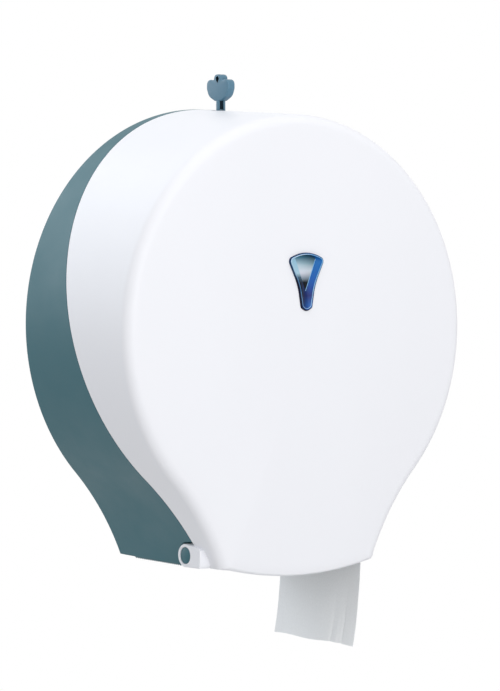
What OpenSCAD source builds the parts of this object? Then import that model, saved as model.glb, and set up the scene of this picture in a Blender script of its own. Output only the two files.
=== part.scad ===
// Jumbo toilet roll dispenser: wall base, drop-down front cover, key lock, spindle and roll.
// Origin: on the spindle axis, in the wall plane. +Z is up and the front faces -Y.

/* [Casing] */
// Radius of the round casing at the wall
case_r = 168; // [160:1:185]
// Depth from the wall to the crest of the front edge
case_d = 128.5; // [126:0.5:140]
// Wall thickness of both mouldings
wall = 3; // [2.5:0.1:4]
// Radius of the rounded front edge
edge_r = 9; // [8:0.5:14]
// How far the middle of the front face stands ahead of its crest
dome = 6.5; // [4:0.5:9]
// Share by which the outline shrinks from the wall to the front
draft = 0.02; // [0.01:0.005:0.03]
// Angle below the horizontal at which the circle turns into the neck
neck_angle = 43.6; // [40:0.2:47]
// Radius of the hollow curve of the neck
neck_r = 220; // [190:5:260]
// Height of the lower edge of the side walls at the wall plane
foot_z = -181.7; // [-186:0.1:-179]
// Drop of that edge from the wall plane to the front
foot_drop = 3.9; // [1:0.1:4.5]
// Sag of the lower edge between the two side walls
sole_sag = 9; // [5:0.5:12]
// Thickness of the back plate
plate_t = 3; // [2.5:0.1:4]
// Gap between the base and the closed cover
part_gap = 0.6; // [0.4:0.1:1]
// Reach of the lip that centres the cover
lip_h = 3; // [2:0.5:4]
// Thickness of that lip
lip_t = 1.6; // [1.2:0.1:2]
// Clearance between the lip and the cover
lip_gap = 1; // [0.8:0.1:1.4]

/* [Hinges] */
// Height of the hinge axis above the foot of the side walls
hinge_rise = 5.7; // [5:0.1:7.5]
// Distance of the hinge axis from the wall
hinge_y = 94; // [90:0.5:96]
// Outer radius of the cover's hinge barrels
barrel_r = 9; // [8.5:0.1:10]
// Radius of the hinge pin where the barrel turns on it
pin_r = 6.5; // [5:0.1:7]
// How far a barrel stands out of the side wall
barrel_out = 6.2; // [5:0.1:9]
// Length of a barrel
barrel_l = 11.4; // [10:0.1:12]
// Thickness of the ears that hold the pins
ear_t = 3.8; // [3:0.1:4.5]
// Gap between an ear and its barrel
ear_gap = 1; // [0.6:0.1:1.5]
// Radius of the pin's shank in the ear
shank_r = 4; // [3:0.1:4.5]
// Radial clearance of a turning pin or shaft
run_gap = 0.05; // [0.02:0.01:0.08]
// Clearance of the base round a hinge barrel
notch_gap = 1.3; // [0.8:0.1:1.4]

/* [Spindle and roll] */
// Room between the paper roll and the round of the casing
roll_room = 32; // [28:1:60]
// Room between the roll's front side and the crest of the casing's front edge
front_room = 11; // [10.5:0.5:16]
// Distance of the roll's rear side from the wall
roll_y = 18; // [18:0.5:20]
// Inner radius of the cardboard core
core_r = 22.5; // [20:0.5:28]
// Thickness of the cardboard core
core_t = 2; // [1.5:0.1:2.5]
// Radius of the spindle
spindle_r = 12; // [9:0.5:14]
// Radius of the spindle's foot
spindle_foot_r = 32; // [29:0.5:33]
// Radius of the hub's rear flange
hub_flange_r = 40; // [34:1:46]
// Thickness of that flange
hub_flange_t = 3.4; // [2.5:0.1:4]
// Radius of the retaining cap
cap_r = 19; // [17:0.5:20]
// Thickness of the retaining cap
cap_t = 3.5; // [3:0.1:4]

/* [Lock] */
// Distance of the lock's axis from the wall
lock_y = 27.4; // [26:0.2:30]
// Outer radius of the lock sleeve
sleeve_r = 8; // [7.8:0.1:8.5]
// Radius of the turning lock shaft
rotor_r = 5; // [4.9:0.1:5.2]
// Radius of the key's shaft
key_r = 3.7; // [3.4:0.1:3.75]
// Depth to which the key goes into the lock
key_depth = 12; // [8:0.5:12.5]
// Height of the key's neck above the casing
key_neck = 7.5; // [5:0.5:10]
// Width of the key's head
key_head_w = 24.5; // [18:0.5:26]
// Height of the key's head
key_head_h = 20.7; // [18:0.1:24]
// Thickness of the key's head
key_head_t = 7.5; // [4:0.5:8]
// Turn of the key's head away from the side
key_turn = 5; // [0:5:45]

/* [Window and tear edges] */
// Half the width of the level window at its shoulders
window_w = 17.5; // [14:0.5:22]
// Height of the window's shoulders above the spindle
window_z = 50; // [46:0.5:56]
// Height of the window
window_h = 39.5; // [34:0.5:44]
// Pitch of the tear teeth
tooth_pitch = 3.5; // [2.5:0.1:5]
// Height of the tear teeth
tooth_h = 1.6; // [1.2:0.1:2.5]
// How far the tear strips stand out below the side walls
strip_drop = 1.3; // [0.4:0.1:2]
// Thickness of the tear strips
strip_t = 1.6; // [1.2:0.1:2]
// Distance of a tear strip's rear end from the wall
strip_y = 12; // [8:1:20]
// Length of the paper that hangs below the casing
tail_drop = 70; // [40:1:120]
// Thickness of the hanging paper
paper_t = 0.8; // [0.6:0.1:1.2]

/* [Wall fixing] */
// Distance between the wall screws, across and upwards
screw_span = [180, 150]; // [120:5:190]
// Radius of the wall screw holes
wall_hole_r = 2.75; // [2:0.25:3.25]

/* [Hidden] */
$fn = 64;

base_colour = [0.33, 0.47, 0.51];
cover_colour = [0.93, 0.94, 0.96];
metal_colour = [0.72, 0.73, 0.75];
paper_colour = [0.95, 0.95, 0.93];
card_colour = [0.72, 0.6, 0.45];
window_colour = [0.35, 0.5, 0.75];

slip = 0.3; // clearance of loose neighbours
seat = 0.05; // clearance of a screw or shank in its hole
eps = 0.05; // overlap that fuses two features of one moulding
far = 400; // larger than anything here

main_steps = 26; // points along half of the circle
neck_steps = 6;
sole_steps = 5;
taper_z = foot_z - 4.3; // the outline shrinks towards this height
dome_z = -10; // height of the highest point of the face

screw_r = 2;
screw_head_r = 4;
screw_head_t = 2.4;
small_screw_r = 1.2;
small_head_r = 2.2;
small_head_t = 1.4;

// Outline of the casing

function shrink(y) = 1 + draft * y / case_d;
function foot_at(y) = foot_z + foot_drop * y / case_d;

// Centre of the neck's arc at depth y
function neck_c(y) = [(case_r + neck_r) * shrink(y) * cos(neck_angle),
    (1 - shrink(y)) * taper_z - (case_r + neck_r) * shrink(y) * sin(neck_angle)];

// Angle on the neck's arc, drawn in by inset, at height z
function neck_turn(y, inset, z) = asin((z - neck_c(y)[1]) / (neck_r * shrink(y) + inset));

// Half width of the neck at height z
function neck_x(y, inset, z) =
    neck_c(y)[0] - (neck_r * shrink(y) + inset) * cos(neck_turn(y, inset, z));

// Right half of the outline, from the top to the middle of the sole
function half_outline(y, inset, foot) =
    let (r = case_r * shrink(y) - inset, zc = (1 - shrink(y)) * taper_z, c = neck_c(y),
        n = neck_r * shrink(y) + inset, end = neck_turn(y, inset, foot), xf = neck_x(y, inset, foot))
    concat(
        [for (i = [0:main_steps]) let (a = 90 - (90 + neck_angle) * i / main_steps)
            [r * cos(a), zc + r * sin(a)]],
        [for (i = [1:neck_steps]) let (b = neck_angle + (end - neck_angle) * i / neck_steps)
            [c[0] - n * cos(b), c[1] + n * sin(b)]],
        [for (i = [1:sole_steps]) let (u = 1 - i / sole_steps)
            [xf * u, foot - sole_sag * (1 - u * u)]]);

// Whole outline, drawn in by inset and shrunk by q about the dome's centre
function ring(y, inset, q, below) =
    let (h = half_outline(y, inset, foot_at(y) - below), n = len(h))
    [for (p = concat(h, [for (i = [n - 2:-1:1]) [-h[i][0], h[i][1]]]))
        [p[0] * q, y, dome_z + (p[1] - dome_z) * q]];

// Rings of the casing's form, a distance t inside its surface, from depth y0 to the face
function casing_rings(t, y0, below) = concat(
    [ring(y0, t, 1, below)],
    [for (a = [0:18:90]) let (y = -(case_d - edge_r + (edge_r - t) * sin(a)),
        inset = edge_r - (edge_r - t) * cos(a))
        ring(y, inset, 1, below - (below > 0 ? 0 : inset * sole_roll / edge_r))],
    [for (q = [0.85, 0.7, 0.5, 0.3, 0.1]) let (y = t - case_d)
        [for (p = ring(y, edge_r, q, below - (below > 0 ? 0 : sole_roll)))
            [p[0], y - dome * (1 - q * q), p[2]]]]);
sole_roll = 2.5; // height of the rounding on the face's lower edge

module skin(rings) {
    n = len(rings[0]);
    m = len(rings);
    polyhedron(
        points = [for (r = rings) for (p = r) p],
        faces = concat(
            [[for (i = [n - 1:-1:0]) i]],
            [for (k = [0:m - 2]) for (i = [0:n - 1]) let (j = (i + 1) % n, a = k * n, b = a + n)
                each [[a + i, b + j, b + i], [a + i, a + j, b + j]]],
            [[for (i = [0:n - 1]) (m - 1) * n + i]]));
}

module casing_solid(t = 0, y0 = 0, below = 0) skin(casing_rings(t, y0, below));

// The same form without its front edge and face, for what lies behind them
wall_y = edge_r - case_d;
module side_solid(t = 0, y0 = 0, below = 0) skin([ring(y0, t, 1, below), ring(wall_y, t, 1, below)]);

module cover_shell() difference() {
    casing_solid();
    casing_solid(wall, -plate_t, 40);
}

module base_shell() difference() {
    side_solid();
    side_solid(wall, -plate_t, 40);
}

// Shapes drawn in the side view and run across the casing
module across(w = far) rotate([90, 0, 90]) linear_extrude(w, center = true) children();

// Shapes drawn in the front view and run towards the front
module ahead(y, h) translate([0, -y, 0]) rotate([90, 0, 0]) linear_extrude(h) children();

// Cylinders towards the front, across and upwards
module disc_y(y, h, r) translate([0, -y, 0]) rotate([90, 0, 0]) cylinder(h, r = r);
module disc_x(x, h, r) translate([x, 0, 0]) rotate([0, 90, 0]) cylinder(h, r = r);

module both_sides() {
    children();
    mirror([1, 0, 0]) children();
}

// Corners of a path rounded with arcs
function unit(v) = v / norm(v);
function turn_to(a, b) = let (d = b - a) d > 180 ? d - 360 : d < -180 ? d + 360 : d;
function round_path(p, r, steps = 6) = [for (i = [0:len(p) - 1])
    let (c = p[i], u = unit(p[(i + len(p) - 1) % len(p)] - c), v = unit(p[(i + 1) % len(p)] - c),
        half = acos(u * v) / 2, m = c + unit(u + v) * r[i] / sin(half),
        a = c + u * r[i] / tan(half) - m, b = c + v * r[i] / tan(half) - m,
        a0 = atan2(a[1], a[0]), sweep = turn_to(a0, atan2(b[1], b[0])))
    for (k = [0:steps]) m + r[i] * [cos(a0 + sweep * k / steps), sin(a0 + sweep * k / steps)]];

// Parting line between base and cover in the side view, as [y, z]

part_top = [-5, case_r];
part_bow = [-14, case_r - 18];
part_run = [-69, foot_z + 141.5];
part_end = [-(hinge_y + 8), foot_z + 14];
function bezier(a, b, c, d, t) =
    a * pow(1 - t, 3) + 3 * b * t * pow(1 - t, 2) + 3 * c * t * t * (1 - t) + d * pow(t, 3);
parting = [for (i = [0:16]) bezier(part_top, part_bow, part_run, part_end, i / 16)];

// Everything behind the parting line, moved forwards by shift
module behind_parting(shift = 0) across() translate([-shift, 0]) polygon(concat(
    [[far, far], [part_top[0], far]], parting, [[part_end[0] - 5, -far], [far, -far]]));

// Lock and window places that follow from the casing

lock_top = case_r * shrink(-lock_y) + (1 - shrink(-lock_y)) * taper_z;
sleeve_top = lock_top - 0.6;
sleeve_flange_r = 13;
sleeve_flange_t = 3;
sleeve_foot = lock_top - 11.5; // underside of the sleeve's flange
pad_z = sleeve_foot + sleeve_flange_t; // underside of the cover's lock pad
rotor_head_t = 2.6;
rotor_head_r = sleeve_r - 1.2;
cam_t = 3;
cam_gap = 0.4; // between the cam and the screw heads above it
cam_top = sleeve_foot - small_head_t - cam_gap;
cam_square = 7;
lock_screw_x = (sleeve_r + sleeve_flange_r) / 2;
key_gap = 0.1;
key_fin = [5, 1.6]; // height and thickness of the fin on the key
key_fin_r = rotor_r - 0.6;

window_skirt = 4; // overlap of the window's inner flange
window_land_y = case_d - 0.2; // flat inner land of the window
window_flange_t = 2;
window_front_y = case_d + dome + 0.9;

// Outline of the window, grown on all sides: a crown, wide shoulders, hollow flanks and a narrow foot
window_foot_w = 5.2; // half the width of its foot
window_waist = 0.46; // share of its half width at the middle of the flanks
window_waist_z = window_z - 20;
window_crown = 7; // rise of its middle above the shoulders
function window_outline(grow = 0) =
    let (w = window_w + grow, waist = window_w * window_waist + grow, foot = window_foot_w + grow,
        shoulder_z = window_z + grow * 0.3, low = window_z - window_h - grow)
    round_path(
        [[-w, shoulder_z], [0, window_z + window_crown + grow], [w, shoulder_z], [waist, window_waist_z],
            [foot, low + 2], [0, low - 0.7], [-foot, low + 2], [-waist, window_waist_z]],
        [3.5 + grow, 30, 3.5 + grow, 50, 3 + grow, 5 + grow, 3 + grow, 50]);

// Outline of the sunk pane in the window's upper part
pane_in = 5.5; // width of the rim beside the pane
pane_depth = 2.5;
pane_w = window_w - pane_in;
pane_outline = round_path(
    [[-pane_w, window_z - 0.8], [0, window_z + 4], [pane_w, window_z - 0.8], [0, window_z - 27]],
    [2, 22, 2, 1.2]);

// Hinge places

hinge_z = foot_z + hinge_rise;
barrel_x = neck_x(-hinge_y, 0, hinge_z) + barrel_out; // outer end of a barrel
ear_x = barrel_x - barrel_l - ear_gap; // outer face of an ear
notch_r = barrel_r + notch_gap;

module at_hinge() translate([0, -hinge_y, hinge_z]) children();

// Room that the hinge barrel and its arm need in the base
module hinge_notch() across() translate([-hinge_y, hinge_z]) {
    circle(notch_r);
    translate([-far, -far]) square([far, far + notch_r]);
    translate([-eps, -far]) square([notch_r + eps, far]);
}

// Tear strip places: a flat land inside each side wall, at the slope of the neck's foot

web_t = 4; // thickness of the web that carries an ear
strip_end = hinge_y - notch_r - web_t - 1;
strip_slope = neck_turn(-strip_end, wall, foot_at(-strip_end));
strip_x = neck_x(-strip_end, wall, foot_at(-strip_end)) - 0.6;
strip_h = 12;
strip_screw_at = [for (i = [0:2]) strip_y + (strip_end - strip_y) * (0.12 + 0.38 * i)];

// Puts a shape drawn as [distance from the wall, height up the slope] on the strip's land
module on_strip_land() translate([strip_x, 0, foot_at(-strip_end)])
    rotate([0, strip_slope, 0]) rotate([90, 0, -90]) children();

function foot_rise(p) = (foot_at(-p) - foot_at(-strip_end)) / cos(strip_slope);

module tear_strip() {
    teeth = floor((strip_end - strip_y) / tooth_pitch);
    pitch = (strip_end - strip_y) / teeth;
    difference() {
        on_strip_land() linear_extrude(strip_t) polygon(concat(
            [for (i = [0:2 * teeth]) let (p = strip_y + pitch * i / 2)
                [p, foot_rise(p) - strip_drop - (i % 2 == 0 ? 0 : tooth_h)]],
            [[strip_end, strip_h], [strip_y, strip_h + foot_rise(strip_y)]]));
        strip_screw_places() translate([0, 0, -1]) cylinder(strip_t + 2, r = small_screw_r + seat);
    }
}

// Base

land_t = 6; // it reaches into the side wall
land_low = 0.6; // how far its lower edge stays above the side wall's
small_shank = 2.6; // depth of a strip screw in the land

module strip_land() intersection() {
    on_strip_land() translate([0, 0, -land_t]) linear_extrude(land_t) polygon([
        [strip_y, foot_rise(strip_y) + land_low], [strip_end, land_low],
        [strip_end, strip_h], [strip_y, strip_h + foot_rise(strip_y)]]);
    side_solid(wall / 2);
}

module strip_screw_places() for (p = strip_screw_at)
    on_strip_land() translate([p, strip_h / 2 + foot_rise(p), 0]) children();

ear_r = barrel_r - 0.5;

module hinge_ear() difference() {
    intersection() {
        at_hinge() {
            disc_x(ear_x - ear_t, ear_t, ear_r);
            translate([ear_x - ear_t, 0, -ear_r]) cube([ear_t, notch_r + web_t, 2 * ear_r]);
            translate([ear_x - ear_t, notch_r, -ear_r]) cube([far, web_t, 2 * ear_r]);
        }
        side_solid(wall / 2);
    }
    at_hinge() disc_x(0, far, shank_r + seat);
}

lip_root = 6; // how far the lip reaches back inside the wall
lip_foot_z = hinge_z + 60; // the lip ends well above the hinge

module base_lip() intersection() {
    difference() {
        behind_parting(lip_h);
        behind_parting(-lip_root);
    }
    translate([-far / 2, -far, lip_foot_z]) cube(far);
    difference() {
        side_solid(wall - eps, -plate_t);
        side_solid(wall + lip_gap + lip_t, 1 - plate_t, 40);
        difference() {
            side_solid(-1, 1);
            side_solid(wall + lip_gap, 1, 40);
            behind_parting(-1);
        }
    }
}

rib_h = 7;
rib_t = 2;
rib_ring_r = 98;

module base_ribs() intersection() {
    union() {
        for (a = [22.5:45:359]) rotate([0, a, 0]) translate([spindle_foot_r, -plate_t - rib_h, -rib_t / 2])
            cube([far, rib_h + eps, rib_t]);
        ahead(plate_t - eps, rib_h + eps) difference() {
            circle(rib_ring_r);
            circle(rib_ring_r - rib_t);
        }
    }
    side_solid(wall / 2);
}

spindle_pad_t = 3;
spindle_pad_r = spindle_foot_r + 4;
screw_boss_r = 8;
screw_boss_h = 5;
strike_y = plate_t + rib_h; // the strike stands on the height of the ribs
strike_z = cam_top - cam_t - 13; // lower edge of the strike's flange
strike_h = 12;
strike_w = 37.5;
strike_leg = 2.5; // thickness of the leg that stands out to the catch
strike_x = -20; // outer face of that leg
strike_end = strike_x + strike_leg - strike_w; // far end of the flange
strike_pad_w = strike_w - strike_leg - 5;
strike_screw_at = [8.25, 23.25]; // places of its screws, from its far end

module wall_screw_places() for (x = [-1, 1], z = [-1, 1])
    translate([x * screw_span[0] / 2, 0, z * screw_span[1] / 2]) children();

module spindle_screw_places() for (a = [90, 210, 330]) rotate([0, a, 0])
    translate([(spindle_r + spindle_foot_r) / 2 + 2, 0, 0]) children();

module strike_screw_places() for (p = strike_screw_at)
    translate([strike_end + p, 0, strike_z + strike_h / 2]) children();

module rear_base() color(base_colour) difference() {
    union() {
        difference() {
            intersection() {
                base_shell();
                behind_parting();
            }
            hinge_notch();
        }
        base_lip();
        base_ribs();
        disc_y(0, plate_t + spindle_pad_t, spindle_pad_r);
        wall_screw_places() disc_y(0, plate_t + screw_boss_h, screw_boss_r);
        translate([strike_end, -strike_y, strike_z]) cube([strike_pad_w, strike_y - 1, strike_h]);
        both_sides() {
            strip_land();
            hinge_ear();
        }
    }
    wall_screw_places() disc_y(-1, far, wall_hole_r);
    both_sides() strip_screw_places() translate([0, 0, -small_shank - 0.3])
        cylinder(small_shank + 1, r = small_screw_r + seat);
    spindle_screw_places() disc_y(plate_t - 2, far, screw_r + seat);
    strike_screw_places() disc_y(plate_t, far, screw_r + seat);
}

module tear_strip_left() color(base_colour) mirror([1, 0, 0]) tear_strip();
module tear_strip_right() color(base_colour) tear_strip();

module strip_screws() color(metal_colour) both_sides() strip_screw_places() {
    translate([0, 0, strip_t]) cylinder(small_head_t, r = small_head_r);
    translate([0, 0, -small_shank]) cylinder(strip_t + small_shank + eps, r = small_screw_r);
}

module hinge_pin() at_hinge() {
    disc_x(ear_x, barrel_x - ear_x, pin_r);
    disc_x(ear_x - ear_t, ear_t + eps, shank_r);
}
module hinge_pin_left() color(base_colour) mirror([1, 0, 0]) hinge_pin();
module hinge_pin_right() color(base_colour) hinge_pin();

// Spindle, hub and roll

roll_r = case_r - roll_room;
roll_w = case_d - front_room - roll_y;
foot_y = plate_t + spindle_pad_t;
foot_t = 3.5;
shoulder_r = 17;
washer_t = 1.2;
shoulder_end = roll_y - hub_flange_t - slip - washer_t;
roll_end = roll_y + roll_w;
hub_end = roll_end - 4; // the hub ends inside the core
spindle_end = hub_end + slip;
cap_screw_l = 12; // length of the cap's screw in the spindle

module screw_y(y, l) {
    disc_y(y, screw_head_t, screw_head_r);
    disc_y(y - l, l + eps, screw_r);
}

module roll_spindle() color(cover_colour) difference() {
    union() {
        disc_y(foot_y, foot_t, spindle_foot_r);
        disc_y(foot_y, shoulder_end - foot_y, shoulder_r);
        disc_y(foot_y, spindle_end - foot_y, spindle_r);
    }
    spindle_screw_places() disc_y(0, far, screw_r + seat);
    disc_y(spindle_end - cap_screw_l - 2, far, screw_r + seat);
}

module spindle_screws() color(metal_colour) spindle_screw_places()
    screw_y(foot_y + foot_t, foot_y + foot_t - plate_t);

module brake_washer() color(metal_colour) difference() {
    disc_y(shoulder_end, washer_t, shoulder_r);
    disc_y(0, far, spindle_r + slip);
}

module hub_cap() color(base_colour) difference() {
    disc_y(spindle_end, cap_t, cap_r);
    disc_y(0, far, screw_r + seat);
}

module hub_cap_screw() color(metal_colour) screw_y(spindle_end + cap_t, cap_t + cap_screw_l);

hub_ribs = 6;
hub_rib_t = 3;
hub_body_r = spindle_r + 4;

module roll_hub() color(base_colour) difference() {
    union() {
        disc_y(roll_y - hub_flange_t, hub_flange_t, hub_flange_r);
        disc_y(roll_y - hub_flange_t, hub_end - roll_y + hub_flange_t, hub_body_r);
        intersection() {
            disc_y(roll_y - 1, hub_end - roll_y + 1, core_r - 0.1);
            for (i = [0:hub_ribs - 1]) rotate([0, i * 360 / hub_ribs, 0])
                translate([spindle_r + 2, -hub_end, -hub_rib_t / 2]) cube([far, hub_end, hub_rib_t]);
        }
    }
    disc_y(0, far, spindle_r + run_gap);
}

module cardboard_core() color(card_colour) difference() {
    disc_y(roll_y, roll_w, core_r + core_t);
    disc_y(0, far, core_r);
}

module paper_roll() color(paper_colour) difference() {
    disc_y(roll_y, roll_w, roll_r, $fn = 128);
    disc_y(0, far, core_r + core_t + 0.1);
}

// Hanging paper: it leaves the roll at a tangent, passes inside the right hinge ear and hangs free

tail_x = ear_x - ear_t - slip - paper_t / 2; // where it passes the ear
tail_top = hinge_z + barrel_r + 8;
tail_reach = roll_r + slip + paper_t / 2;
tail_turn = atan2(tail_top, tail_x) + acos(tail_reach / norm([tail_x, tail_top]));
tail_start = tail_reach * [cos(tail_turn), sin(tail_turn)];
tail_bend = [tail_x + 3, tail_top + 7]; // where the straight run from the roll ends
tail_in = 7.5; // how far the free end swings inwards
tail_path = concat(
    [for (t = [0:0.25:1]) tail_start * (1 - t) + tail_bend * t],
    [[tail_x + 1, tail_top + 2], [tail_x, tail_top - 5], [tail_x, hinge_z - barrel_r]],
    [for (t = [0.25:0.25:1])
        [tail_x - 0.4 - tail_in * t * t * (1.4 - 0.4 * t), foot_z - 5 - (tail_drop - 3) * t]]);

function side_step(p, i) = let (d = unit(p[min(i + 1, len(p) - 1)] - p[max(i - 1, 0)])) [-d[1], d[0]];
function thick_path(p, t) = concat(
    [for (i = [0:len(p) - 1]) p[i] + side_step(p, i) * t / 2],
    [for (i = [len(p) - 1:-1:0]) p[i] - side_step(p, i) * t / 2]);

module paper_tail() color(paper_colour) ahead(roll_y, roll_w) polygon(thick_path(tail_path, paper_t));

// Strike and lock

strike_gap = 1;
hook_in = 14.4; // distance from the lock's axis to the hook's inner side
hook_t = 3.2;
strike_t = 2;
catch_w = 16;
catch_h = 9.5;
catch_room = 5; // how far the catch reaches below the cam

module strike_plate() color(metal_colour) difference() {
    catch_y = hook_in - strike_gap - strike_t - lock_y;
    catch_z = cam_top - cam_t - catch_room;
    union() {
        translate([strike_end, -strike_y - strike_t, strike_z]) cube([strike_w, strike_t, strike_h]);
        translate([strike_x, catch_y, catch_z]) cube([strike_leg, -strike_y - catch_y, catch_h]);
        translate([strike_x, catch_y, catch_z]) cube([catch_w, strike_t, catch_h]);
    }
    strike_screw_places() disc_y(0, far, screw_r + seat);
}

module strike_screws() color(metal_colour) strike_screw_places() screw_y(strike_y + strike_t, strike_t + 6);

module at_lock() translate([0, -lock_y, 0]) children();
module lock_screw_places() at_lock() for (x = [-1, 1]) translate([x * lock_screw_x, 0, 0]) children();
module post(z0, z1, r) translate([0, 0, z0]) cylinder(z1 - z0, r = r);

module lock_sleeve() color(base_colour) difference() {
    at_lock() {
        post(sleeve_foot, pad_z, sleeve_flange_r);
        post(sleeve_foot, sleeve_top, sleeve_r);
    }
    at_lock() post(0, far, rotor_r + run_gap);
    at_lock() post(sleeve_top - rotor_head_t - slip, far, rotor_head_r + run_gap);
    lock_screw_places() post(0, far, small_screw_r + seat);
}

module lock_screws() color(metal_colour) lock_screw_places() {
    post(sleeve_foot - small_head_t, sleeve_foot, small_head_r);
    post(sleeve_foot - eps, pad_z + 2.5, small_screw_r);
}

module lock_rotor() color(base_colour) at_lock() difference() {
    union() {
        post(sleeve_top - rotor_head_t, sleeve_top, rotor_head_r);
        post(cam_top, sleeve_top - eps, rotor_r);
        translate([-cam_square / 2, -cam_square / 2, cam_top - cam_t])
            cube([cam_square, cam_square, cam_t + eps]);
    }
    post(sleeve_top - key_depth, far, key_r + key_gap);
    translate([-key_fin_r, -key_fin[1] / 2 - 0.2, sleeve_top - key_fin[0] - 1])
        cube([2 * key_fin_r, key_fin[1] + 0.4, far]);
    post(0, sleeve_top - key_depth - 1.5, small_screw_r + seat);
}

cam_hub_r = 6.5;
cam_arm = 7;
hook_l = 10; // how far the hook stands out from the middle of the arm

// The hook points to +X at rest, which is unlocked, and turns towards the wall
module lock_cam() color(metal_colour) at_lock() difference() {
    translate([0, 0, cam_top - cam_t]) linear_extrude(cam_t) difference() {
        union() {
            circle(cam_hub_r);
            translate([0, -cam_arm / 2]) square([hook_in + hook_t, cam_arm]);
            translate([hook_in, -cam_arm / 2]) square([hook_t, cam_arm / 2 + hook_l]);
        }
        square(cam_square + 0.1, center = true);
    }
}

module cam_screw() color(metal_colour) at_lock() {
    post(cam_top - cam_t - small_head_t - 0.6, cam_top - cam_t, cam_square / 2 + 1);
    post(cam_top - cam_t - eps, sleeve_top - key_depth - 2, small_screw_r);
}

// The head's outline: a round foot, two shoulders and a round lobe at the top
key_lobe = 4.2; // half the width of the lobe
key_eye_r = 1.8;
key_eye_in = 4; // the eye's distance from the top

module key_outline() {
    w = key_head_w / 2;
    lobe = key_lobe;
    dip = key_head_h - 5;
    right = [[3.6, 0], [w - 2.2, 3.6], [w, 9.5], [w, dip + 2], [lobe, dip], [lobe, key_head_h]];
    left = [for (i = [5:-1:0]) [-right[i][0], right[i][1]]];
    polygon(round_path(concat(right, left), [1.5, 8, 6, 4, 1.2, 3.4, 3.4, 1.2, 4, 6, 8, 1.5]));
}

module key() color(base_colour) at_lock() {
    head_z = lock_top + key_neck;
    difference() {
        union() {
            post(sleeve_top - key_depth + 0.5, head_z + 1, key_r);
            translate([-key_fin_r + 0.2, -key_fin[1] / 2, sleeve_top - key_fin[0]])
                cube([2 * key_fin_r - 0.4, key_fin[1], key_fin[0] - 1]);
            translate([0, 0, head_z]) rotate([90, 0, key_turn - 90])
                linear_extrude(key_head_t, center = true) key_outline();
        }
        translate([0, 0, head_z + key_head_h - key_eye_in]) rotate([90, 0, key_turn - 90])
            cylinder(far, r = key_eye_r, center = true);
    }
}

// Cover

gusset_l = 20.5;
gusset_straight = 17; // length of the arm before it curves in to the wall
gusset_fall = 3; // drop of the arm's upper side

module hinge_barrel() {
    at_hinge() disc_x(barrel_x - barrel_l, barrel_l, barrel_r);
    intersection() {
        across() translate([-hinge_y, hinge_z]) polygon([[0, -barrel_r], [0, barrel_r],
            [-gusset_l, barrel_r - gusset_fall], [-gusset_l, -barrel_r]]);
        translate([0, -hinge_y, -far]) linear_extrude(2 * far) barrel_gusset();
        union() {
            side_solid();
            translate([barrel_x - barrel_l, -hinge_y - gusset_l, -far]) cube([barrel_l, gusset_l, 2 * far]);
        }
    }
}
// Plan of the curved arm that joins a barrel to the side wall
module barrel_gusset() {
    sweep_w = barrel_x - neck_x(-hinge_y - gusset_l, wall / 2, hinge_z);
    sweep_l = gusset_l - gusset_straight;
    polygon(concat(
        [[barrel_x - barrel_l, -gusset_l], [barrel_x - barrel_l, 0], [barrel_x, 0]],
        [for (a = [0:10:90]) [barrel_x - sweep_w * (1 - cos(a)), -gusset_straight - sweep_l * sin(a)]]));
}

module lock_pad() intersection() {
    translate([-sleeve_flange_r - 3, -lock_y - sleeve_flange_r - 1, pad_z])
        cube([2 * sleeve_flange_r + 6, 2 * sleeve_flange_r + 2, far]);
    side_solid(wall / 2);
}

guide_r = 30;
guide_t = 2;
guide_y = roll_end + 3.5; // rear edge of the ring that guides the roll
face_y = case_d + dome - wall / 2; // inside the thickness of the face near its middle

module front_cover() color(cover_colour) difference() {
    union() {
        difference() {
            intersection() {
                cover_shell();
                translate([0, -part_gap, 0]) difference() {
                    cube(2 * far, center = true);
                    behind_parting();
                }
            }
            translate([-far / 2, -hinge_y - 5, hinge_z - far + barrel_r]) cube([far, far, far]);
        }
        both_sides() hinge_barrel();
        lock_pad();
        ahead(guide_y, face_y - guide_y) difference() {
            circle(guide_r);
            circle(guide_r - guide_t);
        }
        ahead(window_land_y, face_y - window_land_y) polygon(window_outline(window_skirt + 1));
    }
    both_sides() at_hinge() disc_x(0, far, pin_r + run_gap);
    at_lock() post(pad_z - 1, far, sleeve_r + seat);
    lock_screw_places() post(pad_z - 1, pad_z + 3, small_screw_r + seat);
    ahead(guide_y - 1, far) polygon(window_outline(seat));
    ahead(guide_y - 1, window_land_y - guide_y + 1) polygon(window_outline(window_skirt + slip));
}

module level_window() color(window_colour) difference() {
    union() {
        ahead(window_land_y - window_flange_t, window_flange_t) polygon(window_outline(window_skirt));
        ahead(window_land_y - eps, window_front_y - window_land_y) polygon(window_outline());
    }
    ahead(window_front_y - pane_depth, far) polygon(pane_outline);
}

rear_base();
tear_strip_left();
tear_strip_right();
strip_screws();
hinge_pin_left();
hinge_pin_right();
roll_spindle();
spindle_screws();
brake_washer();
hub_cap();
hub_cap_screw();
strike_plate();
strike_screws();
paper_tail();
front_cover();
level_window();
lock_sleeve();
lock_screws();
lock_rotor();
lock_cam();
cam_screw();
key();
roll_hub();
cardboard_core();
paper_roll();
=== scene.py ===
import math

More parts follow.
